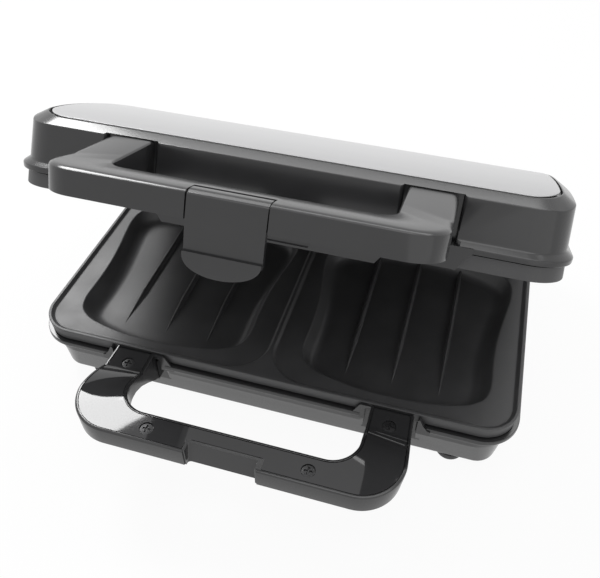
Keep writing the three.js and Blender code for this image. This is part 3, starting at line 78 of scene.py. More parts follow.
def filletPath(corners, radii, steps=5):
    # polyline through the corners, each corner blended by a parabola that starts its radius away
    corners = np.asarray(corners, float)
    made = [corners[:1]]
    share = np.linspace(0, 1, steps + 1)[:, None]
    for before, corner, after, radius in zip(corners[:-2], corners[1:-1], corners[2:], radii[1:-1]):
        if radius <= 0:
            made.append(corner[None])
            continue
        back, ahead = before - corner, after - corner
        reach = min(radius, 0.48 * np.linalg.norm(back), 0.48 * np.linalg.norm(ahead))
        start = corner + back / np.linalg.norm(back) * reach
        end = corner + ahead / np.linalg.norm(ahead) * reach
        made.append(start * (1 - share) ** 2 + 2 * corner * share * (1 - share) + end * share ** 2)
    made.append(corners[-1:])
    return np.vstack(made)


def smoothCurve(points, count):
    # Catmull-Rom curve through the points, at even steps of its own length
    points = np.asarray(points, float)
    padded = np.vstack([2 * points[0] - points[1], points, 2 * points[-1] - points[-2]])
    t = np.linspace(0, len(points) - 1, 40 * len(points))
    i = np.minimum(t.astype(int), len(points) - 2)
    u = (t - i)[:, None]
    a, b, c, d = padded[i], padded[i + 1], padded[i + 2], padded[i + 3]
    bend = (2 * a - 5 * b + 4 * c - d) * u ** 2
    dense = 0.5 * (2 * b + (c - a) * u + bend + (3 * b - a - 3 * c + d) * u ** 3)
    run = np.concatenate([[0], np.cumsum(np.linalg.norm(np.diff(dense, axis=0), axis=1))])
    even = np.linspace(0, run[-1], count)
    return np.column_stack([np.interp(even, run, dense[:, k]) for k in range(dense.shape[1])])


def gridPatch(rings, closeAround=True, closeAlong=False, capEnds=False):
    # rings is levels by points by xyz; faces join each point to the next one and to the next level
    levels, count, _ = rings.shape
    ids = np.arange(levels * count).reshape(levels, count)
    if closeAround:
        ids = np.concatenate([ids, ids[:, :1]], axis=1)
    if closeAlong:
        ids = np.concatenate([ids, ids[:1]], axis=0)
    corners = (ids[:-1, :-1], ids[:-1, 1:], ids[1:, 1:], ids[1:, :-1])
    faces = np.stack(corners, axis=-1).reshape(-1, 4).tolist()
    if capEnds:
        faces.append(list(range(count))[::-1])
        faces.append(list(range((levels - 1) * count, levels * count)))
    return rings.reshape(-1, 3), faces


def makePiece(name, patches, bodyName, nodes, slot, sharp=38.0, bevel=None, weld=0.00002):
    # joins the patches, welds their seams, turns the faces outwards and hangs the piece on its body;
    # an edge past sharp degrees stays crisp, bevel is its rounding in mm, weld the reach of the seams in m
    mesh = bpy.data.meshes.new(name)
    allPoints, allFaces, shift = [], [], 0
    for points, faces in patches:
        allPoints.append(points)
        allFaces += [[v + shift for v in face] for face in faces]
        shift += len(points)
    mesh.from_pydata(toRow(np.vstack(allPoints), bodyName != "base"), [], allFaces)
    work = bmesh.new()
    work.from_mesh(mesh)
    bmesh.ops.remove_doubles(work, verts=work.verts, dist=weld)
    bmesh.ops.dissolve_degenerate(work, dist=weld / 4, edges=work.edges)
    bmesh.ops.recalc_face_normals(work, faces=work.faces)
    for face in work.faces:
        face.smooth = True
    limit = math.radians(sharp)
    for edge in work.edges:
        edge.smooth = len(edge.link_faces) == 2 and edge.calc_face_angle(0) < limit
    work.to_mesh(mesh)
    work.free()
    piece = bpy.data.objects.new(name, mesh)
    bpy.context.scene.collection.objects.link(piece)
    if bevel:
        rounding = piece.modifiers.new("edges", "BEVEL")
        rounding.width = bevel / 1000
        rounding.segments = 3
        rounding.limit_method = "ANGLE"
        rounding.angle_limit = limit
        rounding.harden_normals = True
    mesh.materials.append(finish[slot])
    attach(piece, bodyName)
    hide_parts(*nodes)


def carved(patch, cutters):
    # a closed patch less the cutters' space, worked out by a boolean on throwaway objects in mm
    solids = []
    for points, faces in [patch] + cutters:
        mesh = bpy.data.meshes.new("throwaway")
        mesh.from_pydata(points, [], faces)
        work = bmesh.new()
        work.from_mesh(mesh)
        bmesh.ops.remove_doubles(work, verts=work.verts, dist=0.001)
        bmesh.ops.recalc_face_normals(work, faces=work.faces)
        work.to_mesh(mesh)
        work.free()
        solid = bpy.data.objects.new("throwaway", mesh)
        bpy.context.scene.collection.objects.link(solid)
        solids.append(solid)
    for cutter in solids[1:]:
        cut = solids[0].modifiers.new("cut", "BOOLEAN")
        cut.operation, cut.solver, cut.object = "DIFFERENCE", "EXACT", cutter
    bpy.context.view_layer.update()
    made = bpy.data.meshes.new_from_object(solids[0].evaluated_get(bpy.context.evaluated_depsgraph_get()))
    points = np.empty(len(made.vertices) * 3)
    made.vertices.foreach_get("co", points)
    faces = [list(face.vertices) for face in made.polygons]
    for solid in solids:
        bpy.data.objects.remove(solid)
    return points.reshape(-1, 3), faces


# Outlines

def roofDrop(y):
    # how far the lid's roof lies below its front edge at y: a smooth curve through the roof line
    curve = smoothCurve(roofLine, 300)
    return -np.interp(np.asarray(y, float), curve[:, 0], curve[:, 1])


def bodyRing(out, radius, corner=16, side=34):
    # rounded rectangle grown by out from the plate's rim, anticlockwise from the front middle
    half, front, back = body["halfWidth"] + out, -out, body["depth"] + out
    turn = np.linspace(-math.pi / 2, 0, corner + 1)
    arcX, arcY = half - radius + radius * np.cos(turn), front + radius + radius * np.sin(turn)
    frontArc = np.column_stack([arcX, arcY])
    backArc = np.column_stack([frontArc[::-1, 0], front + back - frontArc[::-1, 1]])
    sideY = np.linspace(frontArc[-1, 1], backArc[0, 1], side + 2)[1:-1]
    sideRun = np.column_stack([np.full(side, half), sideY])
    right = np.vstack([frontArc, sideRun, backArc])
    left = right[::-1] * [-1, 1]
    return np.vstack([right, left])


def wallLevels(section, steps=8):
    # a section's rows are out from the plate's rim, z, corner radius in plan, and rounding of that corner
    rows = np.array(section, float)
    return filletPath(rows[:, :3], rows[:, 3], steps)


def bodySkin(levels, fall=None):
    # one ring for each (out, z, corner radius) level; fall is each level's share of the roof's drop
    rings = []
    for i, (out, z, radius) in enumerate(levels):
        ring = bodyRing(out, radius)
        drop = roofDrop(ring[:, 1]) * (0 if fall is None else fall[i])
        rings.append(np.column_stack([ring, z - drop]))
    return np.array(rings)


def blockPatch(outline, low, high, axis):
    # a flat outline carried from low to high along the named axis
    outline = np.asarray(outline, float)
    order = {"x": (2, 0, 1), "y": (0, 2, 1), "z": (0, 1, 2)}[axis]
    rings = [np.column_stack([outline, np.full(len(outline), level)])[:, order] for level in (low, high)]
    return gridPatch(np.array(rings), capEnds=True)


def boxOutline(a0, a1, b0, b1):
    # rectangle from a0 to a1 and from b0 to b1
    return [(a0, b0), (a1, b0), (a1, b1), (a0, b1)]


def lathePatch(profile, centre, around=40):
    # a profile of (radius, height) turned about the upright line through the centre
    turn = np.linspace(0, 2 * math.pi, around, endpoint=False)
    profile = np.asarray(profile, float)
    r, h = profile[:, :1], np.repeat(profile[:, 1:], around, axis=1)
    rings = np.stack([r * np.cos(turn), r * np.sin(turn), h], axis=-1)
    return gridPatch(rings + np.asarray(centre, float), capEnds=True)


# Materials

def linear(code):
    # sRGB hex to linear red, green, blue, alpha
    parts = [int(code[i:i + 2], 16) / 255 for i in (1, 3, 5)]
    return tuple(c / 12.92 if c <= 0.04045 else ((c + 0.055) / 1.055) ** 2.4 for c in parts) + (1.0,)


def addNode(tree, kind, settings=None, inputs=None, links=None):
    # adds one node, sets its properties and sockets, and joins the given outputs to its inputs
    node = tree.nodes.new(kind)
    for key, value in (settings or {}).items():
        setattr(node, key, value)
    for key, value in (inputs or {}).items():
        node.inputs[key].default_value = value
    for key, socket in (links or {}).items():
        tree.links.new(socket, node.inputs[key])
    return node


def surface(name, look):
    # a shader with cloudy colour and gloss variation and a fine moulded or sprayed grain;
    # cloudMm and grainMm are the sizes of a patch and of a grain; sockets are those not at their default
    material = bpy.data.materials.new(name)
    material.use_nodes = True
    tree = material.node_tree
    shader = tree.nodes["Principled BSDF"]
    for key, value in look.get("sockets", {}).items():
        shader.inputs[key].default_value = value
    place = addNode(tree, "ShaderNodeTexCoord").outputs["Object"]
    cloud = addNode(tree, "ShaderNodeTexNoise", None,
                    {"Scale": 1000 / look["cloudMm"], "Detail": 3.0, "Roughness": 0.55}, {"Vector": place})
    colors = addNode(tree, "ShaderNodeValToRGB", None, None, {"Fac": cloud.outputs["Fac"]})
    colors.color_ramp.elements[0].position = 0.3
    colors.color_ramp.elements[1].position = 0.7
    colors.color_ramp.elements[0].color = linear(look["dark"])
    colors.color_ramp.elements[1].color = linear(look["light"])
    tree.links.new(colors.outputs["Color"], shader.inputs["Base Color"])
    low, high = look["rough"]
    gloss = addNode(tree, "ShaderNodeMapRange", None,
                    {"From Min": 0.3, "From Max": 0.7, "To Min": low, "To Max": high},
                    {"Value": cloud.outputs["Fac"]})
    tree.links.new(gloss.outputs["Result"], shader.inputs["Roughness"])
    grain = addNode(tree, "ShaderNodeTexNoise", None,
                    {"Scale": 1000 / look["grainMm"], "Detail": 2.0}, {"Vector": place})
    bump = addNode(tree, "ShaderNodeBump", None, {"Strength": look["grainDepth"], "Distance": 0.0002},
                   {"Height": grain.outputs["Fac"]})
    tree.links.new(bump.outputs["Normal"], shader.inputs["Normal"])
    return material


def mouldedAbs():
    # ABS from a spark-eroded mould: dark grey, low sheen, with a fine even grain
    return surface("mouldedAbs", {
        "dark": "#2b2b2c", "light": "#303031", "rough": (0.17, 0.21),
        "cloudMm": 30, "grainMm": 0.5, "grainDepth": 0.03,
        "sockets": {"IOR": 1.53}})


def polishedTrim():
    # ABS from a polished mould: near black, mirror-like, with a slight waviness
    return surface("polishedTrim", {
        "dark": "#343435", "light": "#373738", "rough": (0.03, 0.05),
        "cloudMm": 40, "grainMm": 14, "grainDepth": 0.02})


def nonStick():
    # fluoropolymer coating sprayed on die-cast aluminium: charcoal with a soft sheen and tiny specks
    return surface("nonStick", {
        "dark": "#3c3c3d", "light": "#444445", "rough": (0.42, 0.5),
        "cloudMm": 18, "grainMm": 0.7, "grainDepth": 0.2,
        "sockets": {"Specular IOR Level": 0.6}})


def satinPanel():
    # steel sheet with a pale satin lacquer: soft broad reflections and a barely seen grain
    return surface("satinPanel", {
        "dark": "#b2b2b3", "light": "#b8b8b9", "rough": (0.28, 0.32),
        "cloudMm": 60, "grainMm": 0.6, "grainDepth": 0.04,
        "sockets": {"Metallic": 0.35}})


def blackScrew():
    # carbon steel with a black oxide finish: dark, half glossy metal
    return surface("blackScrew", {
        "dark": "#2c2c2d", "light": "#343435", "rough": (0.34, 0.42),
        "cloudMm": 2, "grainMm": 0.4, "grainDepth": 0.1,
        "sockets": {"Metallic": 0.4}})


def zincSteel():
    # steel with a clear zinc plating: bright grey metal with a faint cloudiness
    return surface("zincSteel", {
        "dark": "#9a9a9c", "light": "#b4b4b6", "rough": (0.28, 0.4),
        "cloudMm": 3, "grainMm": 0.3, "grainDepth": 0.08,
        "sockets": {"Metallic": 1.0}})


def sootedSteel():
    # sheath of a heating element: annealed steel, brownish grey and dull
    return surface("sootedSteel", {
        "dark": "#4a4642", "light": "#6a6560", "rough": (0.45, 0.6),
        "cloudMm": 9, "grainMm": 0.5, "grainDepth": 0.15,
        "sockets": {"Metallic": 0.9}})


def brightSheet():
    # rolled aluminium sheet: pale metal with a soft grain
    return surface("brightSheet", {
        "dark": "#c2c3c5", "light": "#d2d3d5", "rough": (0.25, 0.35),
        "cloudMm": 12, "grainMm": 0.8, "grainDepth": 0.06,
        "sockets": {"Metallic": 1.0}})


def softRubber():
    # moulded nitrile rubber: black, matt, with a fine powdery bloom
    return surface("softRubber", {
        "dark": "#454546", "light": "#4e4e4f", "rough": (0.6, 0.72),
        "cloudMm": 6, "grainMm": 0.4, "grainDepth": 0.2})


def plainMoulding(name, dark, light):
    # small moulded or extruded plastic part inside the body: matt, lightly mottled
    return surface(name, {
        "dark": dark, "light": light, "rough": (0.5, 0.62),
        "cloudMm": 5, "grainMm": 0.4, "grainDepth": 0.1})


finish = {
    "housing_plastic": mouldedAbs(), "gloss_trim": polishedTrim(), "nonstick_plate": nonStick(),
    "satin_panel": satinPanel(), "dark_screw": blackScrew(), "screw_steel": zincSteel(),
    "element_steel": sootedSteel(), "shield_aluminium": brightSheet(), "rubber": softRubber(),
    "cover_plastic": plainMoulding("blackAbs", "#232324", "#29292a"),
    "block_ceramic": plainMoulding("creamNylon", "#d8cfba", "#e2dac6"),
    "thermostat_resin": plainMoulding("phenolicResin", "#1d1a18", "#262220"),
    "fuse_sleeve": plainMoulding("glassFibreSleeve", "#d9d8d2", "#e4e3de"),
    "wire_brown": plainMoulding("brownSilicone", "#6b3f20", "#784a29"),
    "wire_blue": plainMoulding("blueSilicone", "#2a4f9a", "#325aa8"),
    "wire_green": plainMoulding("greenSilicone", "#5d8f2a", "#8fae2e"),
}
for row in frame["record"]["subparts"]:
    node = frame["nodes"][row["node"]]
    node.data.materials.clear()
    node.data.materials.append(finish[row["material_slot"]])
print("materials done")


# Camera and light

camera = {
    "place": (78.735, -203.159, 279.763), "turn": -15.831, "down": 44.825, "roll": 0.503,
    "lens": 40.94, "sensor": 36.0,
}


def setCamera():
    # the photograph's view: place, heading and roll found from the straight edges of both plates
    turn, down, roll = (math.radians(camera[k]) for k in ("turn", "down", "roll"))
    ahead = np.array([math.sin(turn) * math.cos(down), math.cos(turn) * math.cos(down), -math.sin(down)])
    right = np.cross(ahead, [0, 0, 1])
    right /= np.linalg.norm(right)
    up = np.cross(right, ahead)
    rolledRight = right * math.cos(roll) + up * math.sin(roll)
    rolledUp = up * math.cos(roll) - right * math.sin(roll)
    data = bpy.data.cameras.new("camera")
    data.lens, data.sensor_width = camera["lens"], camera["sensor"]
    data.clip_start, data.clip_end = 0.01, 20
    rig = bpy.data.objects.new("camera", data)
    bpy.context.scene.collection.objects.link(rig)
    frameMatrix = Matrix(np.column_stack([rolledRight, rolledUp, -ahead]).tolist()).to_4x4()
    frameMatrix.translation = toRow([camera["place"]])[0].tolist()
    rig.matrix_world = frameMatrix
    bpy.context.scene.camera = rig


lamps = {
    "key": {"at": (-0.73, 0.54, 0.95), "aim": (0, -0.02, 0.06), "size": (0.36, 0.5), "power": 9.0},
    "overhead": {"at": (0.15, -0.1, 1.25), "aim": (0, 0.0, 0.05), "size": (0.9, 0.9), "power": 4.0},
    "rear": {"at": (0.0, 0.72, 1.1), "aim": (0, 0, 0.1), "size": (1.3, 0.3), "power": 3.6},
    "frontRight": {"at": (0.8, -0.9, 0.6), "aim": (0, 0, 0.06), "size": (1.5, 1.4), "power": 2.2},
}


def addLamp(name, lamp):
    # rectangular lamp whose back points from the aim to its place
    data = bpy.data.lights.new(name, "AREA")
    data.shape = "RECTANGLE"
    data.size, data.size_y = lamp["size"]
    data.energy = lamp["power"]
    light = bpy.data.objects.new(name, data)
    bpy.context.scene.collection.objects.link(light)
    back = np.array(lamp["at"], float) - np.array(lamp["aim"], float)
    back /= np.linalg.norm(back)
    side = np.cross([0, 0, 1], back)
    side /= np.linalg.norm(side)
    pose = Matrix(np.column_stack([side, np.cross(back, side), back]).tolist()).to_4x4()
    pose.translation = lamp["at"]
    light.matrix_world = pose


studio = {"floorHalf": 6.0, "floorColor": "#f4f4f4", "floorGlow": 0.94, "worldStrength": 0.35}


def seenDirectly(tree):
    # 1 for rays from the camera, or by way of gloss or glass; 0 for light falling on the object
    path = addNode(tree, "ShaderNodeLightPath")
    seen = path.outputs["Is Camera Ray"]
    for kind in ("Is Glossy Ray", "Is Transmission Ray"):
        seen = addNode(tree, "ShaderNodeMath", {"operation": "MAXIMUM"}, None,
                       {0: seen, 1: path.outputs[kind]}).outputs[0]
    return seen


def setStudio():
    # white floor that keeps a soft shadow, and a world that is plain white to the eye and in reflections
    half = studio["floorHalf"]
    mesh = bpy.data.meshes.new("floor")
    mesh.from_pydata([(x, y, 0) for x, y in boxOutline(-half, half, -half, half)], [], [(0, 1, 2, 3)])
    floor = bpy.data.objects.new("floor", mesh)
    bpy.context.scene.collection.objects.link(floor)
    material = bpy.data.materials.new("paperSweep")
    material.use_nodes = True
    tree = material.node_tree
    shader = tree.nodes["Principled BSDF"]
    shader.inputs["Base Color"].default_value = linear(studio["floorColor"])
    shader.inputs["Roughness"].default_value = 0.9
    share = addNode(tree, "ShaderNodeMath", {"operation": "MULTIPLY"}, {1: studio["floorGlow"]},
                    {0: seenDirectly(tree)})
    glow = addNode(tree, "ShaderNodeEmission", None, {"Color": (1, 1, 1, 1), "Strength": 1.0})
    mixed = addNode(tree, "ShaderNodeMixShader", None, None,
                    {0: share.outputs[0], 1: shader.outputs["BSDF"], 2: glow.outputs["Emission"]})
    tree.links.new(mixed.outputs[0], tree.nodes["Material Output"].inputs["Surface"])
    mesh.materials.append(material)
    world = bpy.data.worlds.new("studio")
    bpy.context.scene.world = world
    world.use_nodes = True
    tree = world.node_tree
    strength = addNode(tree, "ShaderNodeMapRange", None,
                       {"To Min": studio["worldStrength"], "To Max": 1.0}, {"Value": seenDirectly(tree)})
    tree.links.new(strength.outputs["Result"], tree.nodes["Background"].inputs["Strength"])
    tree.nodes["Background"].inputs["Color"].default_value = (1, 1, 1, 1)
    for name, lamp in lamps.items():
        addLamp(name, lamp)
    bpy.context.scene.view_settings.view_transform = "Standard"
    print("studio done")


setCamera()
setStudio()


# Cooking plates

plate = {
    "landDrop": 1.8, "lipWidth": 3.0, "ridgeHalf": 2.2, "flareRadius": 20.0, "skirt": 6.7, "draft": 0.5,
    "rise": 1.5, "edge": 0.5, "block": 14.2, "blockInset": 8.0, "rays": 420, "raysFrom": 72.0, "rimGap": 0.3,
    "lipFrom": -1.2, "lipTo": 1.9, "edgeIn": 0.4,
}
pocket = {
    "centreX": 65.1, "halfWidth": 55.6, "front": 8.4, "length": 117.3, "floor": 12.0, "wallRun": 4.4,
    "footRadius": 4.5, "edgeRadius": 1.2, "land": 1.5, "footRun": 0.8, "floorFrom": -20,
    "floorRings": (0.35, 0.7),
}
# right half of a pocket's outline, front middle to back middle: shares of the half width and the length
pocketShares = [
    (0, 0), (0.12, 0.0005), (0.27, 0.004), (0.406, 0.013), (0.54, 0.025), (0.678, 0.043), (0.773, 0.066),
    (0.851, 0.1), (0.89, 0.15), (0.899, 0.21), (0.893, 0.32), (0.905, 0.457), (0.938, 0.576), (0.974, 0.679),
    (0.997, 0.768), (0.985, 0.836), (0.926, 0.888), (0.827, 0.926), (0.683, 0.957), (0.504, 0.981),
    (0.288, 0.996), (0.12, 0.9995), (0, 1),
]
rib = {
    "spacing": 25.2, "front": 24.0, "rise": 26.0, "back": 122.0, "height": 2.8, "foot": 1.6, "crest": 0.75,
    "sunk": 0.6, "neck": 0.9, "point": 0.25,
}


def pocketOutline():
    # smooth curve through the shares times the pocket's size, and its mirror image
    half = smoothCurve(np.array(pocketShares) * [pocket["halfWidth"], pocket["length"]], 220)
    whole = np.vstack([half, half[-2:0:-1] * [-1, 1]])
    return whole + [pocket["centreX"], pocket["front"]]


def landOutline():
    # the flat land's edge: rounded rectangle whose inner corners flare along the ridge
    left, right = plate["ridgeHalf"], body["halfWidth"] - plate["lipWidth"]
    front, back = plate["lipWidth"], body["plateDepth"] - plate["lipWidth"]
    outer, inner = body["corner"] - plate["lipWidth"], plate["flareRadius"]
    corners = [(right, front, outer, -90), (right, back, outer, 0), (left, back, inner, 90),
               (left, front, inner, 180)]
    arcs = []
    for x, y, radius, start in corners:
        cx = x - radius if x > left else x + radius
        cy = y + radius if y == front else y - radius
        turn = np.radians(np.linspace(start, start + 90, 40))
        arcs.append(np.column_stack([cx + radius * np.cos(turn), cy + radius * np.sin(turn)]))
    return np.vstack(arcs)


def alongNormal(outline, distance):
    # each point of a closed outline moved outwards, square to the line through its neighbours
    ahead, behind = np.roll(outline, -1, axis=0), np.roll(outline, 1, axis=0)
    way = ahead - behind
    way /= np.linalg.norm(way, axis=1, keepdims=True)
    return outline + distance * np.column_stack([way[:, 1], -way[:, 0]])


def onRays(outline, centre, turns):
    # the closed outline's point in each direction from the centre, read off close-set points
    loop = np.vstack([outline, outline[:1]])
    run = np.concatenate([[0], np.cumsum(np.linalg.norm(np.diff(loop, axis=0), axis=1))])
    even = np.union1d(np.linspace(0, run[-1], 4001)[:-1], run[:-1])
    away = np.column_stack([np.interp(even, run, loop[:, k]) for k in (0, 1)]) - centre
    angle, reach = np.arctan2(away[:, 1], away[:, 0]), np.linalg.norm(away, axis=1)
    order = np.argsort(angle)
    radius = np.interp(turns, angle[order], reach[order], period=2 * math.pi)
    return centre + radius[:, None] * np.column_stack([np.cos(turns), np.sin(turns)])


def outerEdge(centre, turns):
    # the half plate's own edge on each ray, and the way outwards from it; none at the middle line
    half, depth, corner = body["halfWidth"], body["plateDepth"], body["corner"]
    way = np.column_stack([np.cos(turns), np.sin(turns)])
    with np.errstate(divide="ignore"):
        toSide = np.abs(np.where(way[:, 0] > 0, half - centre[0], centre[0]) / way[:, 0])
        toEnd = np.abs(np.where(way[:, 1] > 0, depth - centre[1], centre[1]) / way[:, 1])
    reach = np.minimum(toSide, toEnd)
    points = centre + reach[:, None] * way
    still = np.zeros(len(turns))
    toFront = np.column_stack([still, np.sign(way[:, 1])])
    toRight = np.column_stack([np.where(way[:, 0] > 0, 1.0, 0.0), still])
    out = np.where((toEnd <= toSide * 1.000001)[:, None], toFront, toRight)
    for cy, sign in ((corner, -1), (depth - corner, 1)):
        arcCentre = np.array([half - corner, cy])
        inCorner = (points[:, 0] > arcCentre[0]) & ((points[:, 1] - cy) * sign > 0)
        # ray against the corner's circle
        start = centre - arcCentre
        b = way @ start
        root = np.sqrt(np.maximum(b ** 2 - (start @ start - corner ** 2), 0))
        onArc = centre + (-b + root)[:, None] * way
        points[inCorner] = onArc[inCorner]
        out[inCorner] = (onArc[inCorner] - arcCentre) / corner
    return points, out


def plateHalf():
    # rings from the pocket's middle out to the rim, down the side and under to a closed block
    centre = np.array([pocket["centreX"], plate["raysFrom"]])
    turns = np.linspace(-math.pi, math.pi, plate["rays"], endpoint=False)
    corners = [math.atan2(y - centre[1], x - centre[0]) for x, y in ((0.0, 0.0), (0.0, body["plateDepth"]))]
    turns = np.unique(np.concatenate([turns, corners]))
    mouth, land = pocketOutline(), landOutline()
    floor, land0 = -pocket["floor"], -plate["landDrop"]
    foot = (-pocket["wallRun"] - pocket["footRun"], floor)
    wall = filletPath([(pocket["floorFrom"], floor), foot, (0, land0), (pocket["land"], land0)],
                      [0, pocket["footRadius"], pocket["edgeRadius"], 0], 7)
    rings = [np.column_stack([np.tile(centre, (len(turns), 1)), np.full(len(turns), floor)])]
    inner = onRays(alongNormal(mouth, wall[0, 0]), centre, turns)
    for share in pocket["floorRings"]:
        rings.append(np.column_stack([centre + (inner - centre) * share, np.full(len(turns), floor)]))
    for distance, z in wall:
        away = onRays(alongNormal(mouth, distance), centre, turns)
        rings.append(np.column_stack([away, np.full(len(turns), z)]))
    lip = filletPath([(plate["lipFrom"], land0), (0, land0), (plate["rise"], 0), (plate["lipTo"], 0)],
                     [0, 0.5, 0.35, 0], 5)
    normal = alongNormal(land, 1.0) - land
    for distance, z in lip:
        away = onRays(land + normal * distance, centre, turns)
        rings.append(np.column_stack([away, np.full(len(turns), z)]))
    rim, out = outerEdge(centre, turns)
    rimEdge = filletPath([(-plate["edge"] - plate["edgeIn"], 0), (0, 0), (-plate["draft"], -plate["skirt"])],
                         [0, plate["edge"], 0], 5)
    underside = [(-plate["blockInset"], -plate["skirt"]), (-plate["blockInset"], -plate["block"])]
    for distance, z in np.vstack([rimEdge, underside]):
        rings.append(np.column_stack([rim + out * distance, np.full(len(turns), z)]))
    rings.append(np.column_stack([np.tile(centre, (len(turns), 1)), np.full(len(turns), -plate["block"])]))
    points, faces = gridPatch(np.array(rings))
    faces = np.array(faces)
    inside = (np.abs(points[faces][:, :, 0]) < 1e-6).all(axis=1)  # faces on the middle line, between the halves
    return points, faces[~inside].tolist()


def ribPatch(x):
    # a blade along y: flared foot, rounded crest, growing from a point at its front end
    along = np.concatenate([np.linspace(0, 1, 26) ** 1.3 * rib["rise"], [rib["back"] - rib["front"]]])
    grown = np.minimum(along / rib["rise"], 1)
    foot, crest = rib["foot"], rib["crest"]
    right = [(foot, -rib["sunk"]), (foot, 0), (crest, rib["neck"]), (crest, rib["height"])]
    left = [(-x, z) for x, z in right[::-1]]
    side = filletPath(right + left, [0, 0.6, 1.2, 0.9, 0.9, 1.2, 0.6, 0], 4)
    rings = []
    for step, share in zip(along, grown):
        width = side[:, 0] * (rib["point"] + (1 - rib["point"]) * share)
        height = np.where(side[:, 1] > 0, side[:, 1] * share, side[:, 1]) - pocket["floor"]
        rings.append(np.column_stack([x + width, np.full(len(side), rib["front"] + step), height]))
    return gridPatch(np.array(rings), capEnds=True)


def platePatches():
    # the half plate, its mirror image and three evenly spaced ribs in each pocket
    points, faces = plateHalf()
    patches = [(points, faces), (points * [-1, 1, 1], [face[::-1] for face in faces])]
    for side in (-1, 1):
        for place in (-1, 0, 1):
            patches.append(ribPatch(side * pocket["centreX"] + place * rib["spacing"]))
    return patches


def turnOver(patches):
    # the same plate upside down, a small gap above the lower one when shut
    lift = [0, 0, plate["rimGap"]]
    return [(points * [1, 1, -1] + lift, [face[::-1] for face in faces]) for points, faces in patches]


makePiece("lowerPlate", platePatches(), "base", ["lower_grill_plate"], "nonstick_plate")
makePiece("upperPlate", turnOver(platePatches()), "lid", ["upper_grill_plate"], "nonstick_plate")
print("plates done")


# Base and its handle

base = {
    # the wall's section, from the flange's mouth round the bead, down, under and up inside
    "section": [
        (-6.0, -9.8, 12.0, 0), (-6.0, -7.8, 12.0, 0.3), (1.8, -7.8, 19.8, 0.45), (2.0, -10.3, 20.0, 0.6),
        (-1.0, -12.6, 18.4, 0.8), (-1.15, -17.8, 18.7, 0.25), (-1.9, -18.4, 18.2, 0.3), (-5.2, -35.6, 11.0, 1.8),
        (-6.8, -37.0, 9.0, 0.5), (-7.7, -37.0, 8.0, 0.3), (-4.6, -18.6, 15.0, 0.5), (-3.3, -13.0, 15.0, 0.5),
        (-3.4, -9.8, 14.6, 0),
    ],
    "deck": (-10.0, -0.8), "lugs": {"inner": 88.0, "outer": 96.0, "low": -21.0, "high": -1.0},
}
deck = {"inset": 2.5, "front": 1.0, "back": 0.2, "corner": 14.0}
knuckle = {"radius": 7.3, "from": -60, "to": 110, "sunk": 3.0}
lowHandle = {
    "half": 82.1, "flare": 1.7, "reach": 56.1, "radius": 22.0, "innerHalf": 58.7, "innerReach": 40.6,
    "innerRadius": 13.8, "back": -0.5, "top": 7.2, "armTop": -0.6, "crease": -14.5, "rampEnd": -37.0,
    "bottom": -4.2, "rootDepth": -23.0, "under": -24.0, "underBack": 2.4, "rim": 1.5, "recess": 1.4,
    "slotIn": 2.9, "slotFill": 3.1, "slotWall": [(-24.5, -2.6), (-6.0, 0.6)], "slotBack": (-25.5, -8.4),
    # inset and drop of the outer and inner rim's rounding
    "rounding": [(0.0, 1.1), (0.12, 0.55), (0.45, 0.14), (0.95, 0.0), (1.5, 0.0)],
    # share of the way to the root, and share of the root's extra depth
    "underShares": [(0, 0), (0.22, 0.13), (0.45, 0.38), (0.7, 0.7), (1, 1)],
}
lowFoot = {**lowHandle, "half": 80.7, "flare": 1.2, "reach": 55.9, "radius": 20.0}  # outline at its lower edge
lowTrim = {"gap": 0.35, "back": -2.1, "thick": 0.8, "sunk": 0.1, "screwHole": 3.4, "holeZ": (-8.0, 12.0)}
notch = {
    "half": 16.9, "shift": -0.7, "top": -50.4, "foot": -53.2, "round": 2.0, "front": -66.0, "z": (-9.0, 12.0),
    "clear": 0.8, "rim": (-19.1, 19.1, -55.4, -48.9), "rimInset": 0.01,
}
# gap in the wall around an arm's root, and the wall that closes it
slot = {"out": 1.7, "depth": 5.2, "round": 2.4, "front": -8.0, "back": 2.4, "lap": 1.5, "sunk": 0.05}
shoulder = {
    # across and up, at the right arm's outer and inner side
    "outer": [(82.6, -12.0), (82.6, -1.5), (83.2, -0.8), (83.8, -1.3), (85.5, -4.9), (87.9, -8.3), (89.5, -9.0),
              (89.5, -12.0)],
    "inner": [(49.0, -12.0), (49.0, -8.6), (50.0, -7.4), (53.0, -1.2), (53.7, -0.8), (58.8, -0.8), (58.8, -2.0),
              (56.6, -2.6), (55.9, -3.4), (55.9, -12.0)],
    "outerFace": -2.7, "innerFace": -1.5, "back": -0.4, "footZ": (-21.5, -8.4), "footY": (-1.2, 5.3),
}
screwSpots = [(-69.6, -10.0), (-39.5, -48.8), (39.5, -48.8), (69.6, -10.0)]


def lowTop(y):
    # level on the arm, then a crease and a parabola that ends level on the bar
    run = (lowHandle["crease"] - np.asarray(y, float)) / (lowHandle["crease"] - lowHandle["rampEnd"])
    left = 1 - np.clip(run, 0, 1)
    return lowHandle["armTop"] + (1 - left ** 2) * (lowHandle["top"] - lowHandle["armTop"])


def lowUnder(y):
    # level under the bar, then deeper towards the root by straight steps between the shares
    along = (np.asarray(y, float) - lowHandle["under"]) / (lowHandle["underBack"] - lowHandle["under"])
    share = np.array(lowHandle["underShares"])
    deeper = lowHandle["rootDepth"] - lowHandle["bottom"]
    return lowHandle["bottom"] + np.interp(along, share[:, 0], share[:, 1]) * deeper


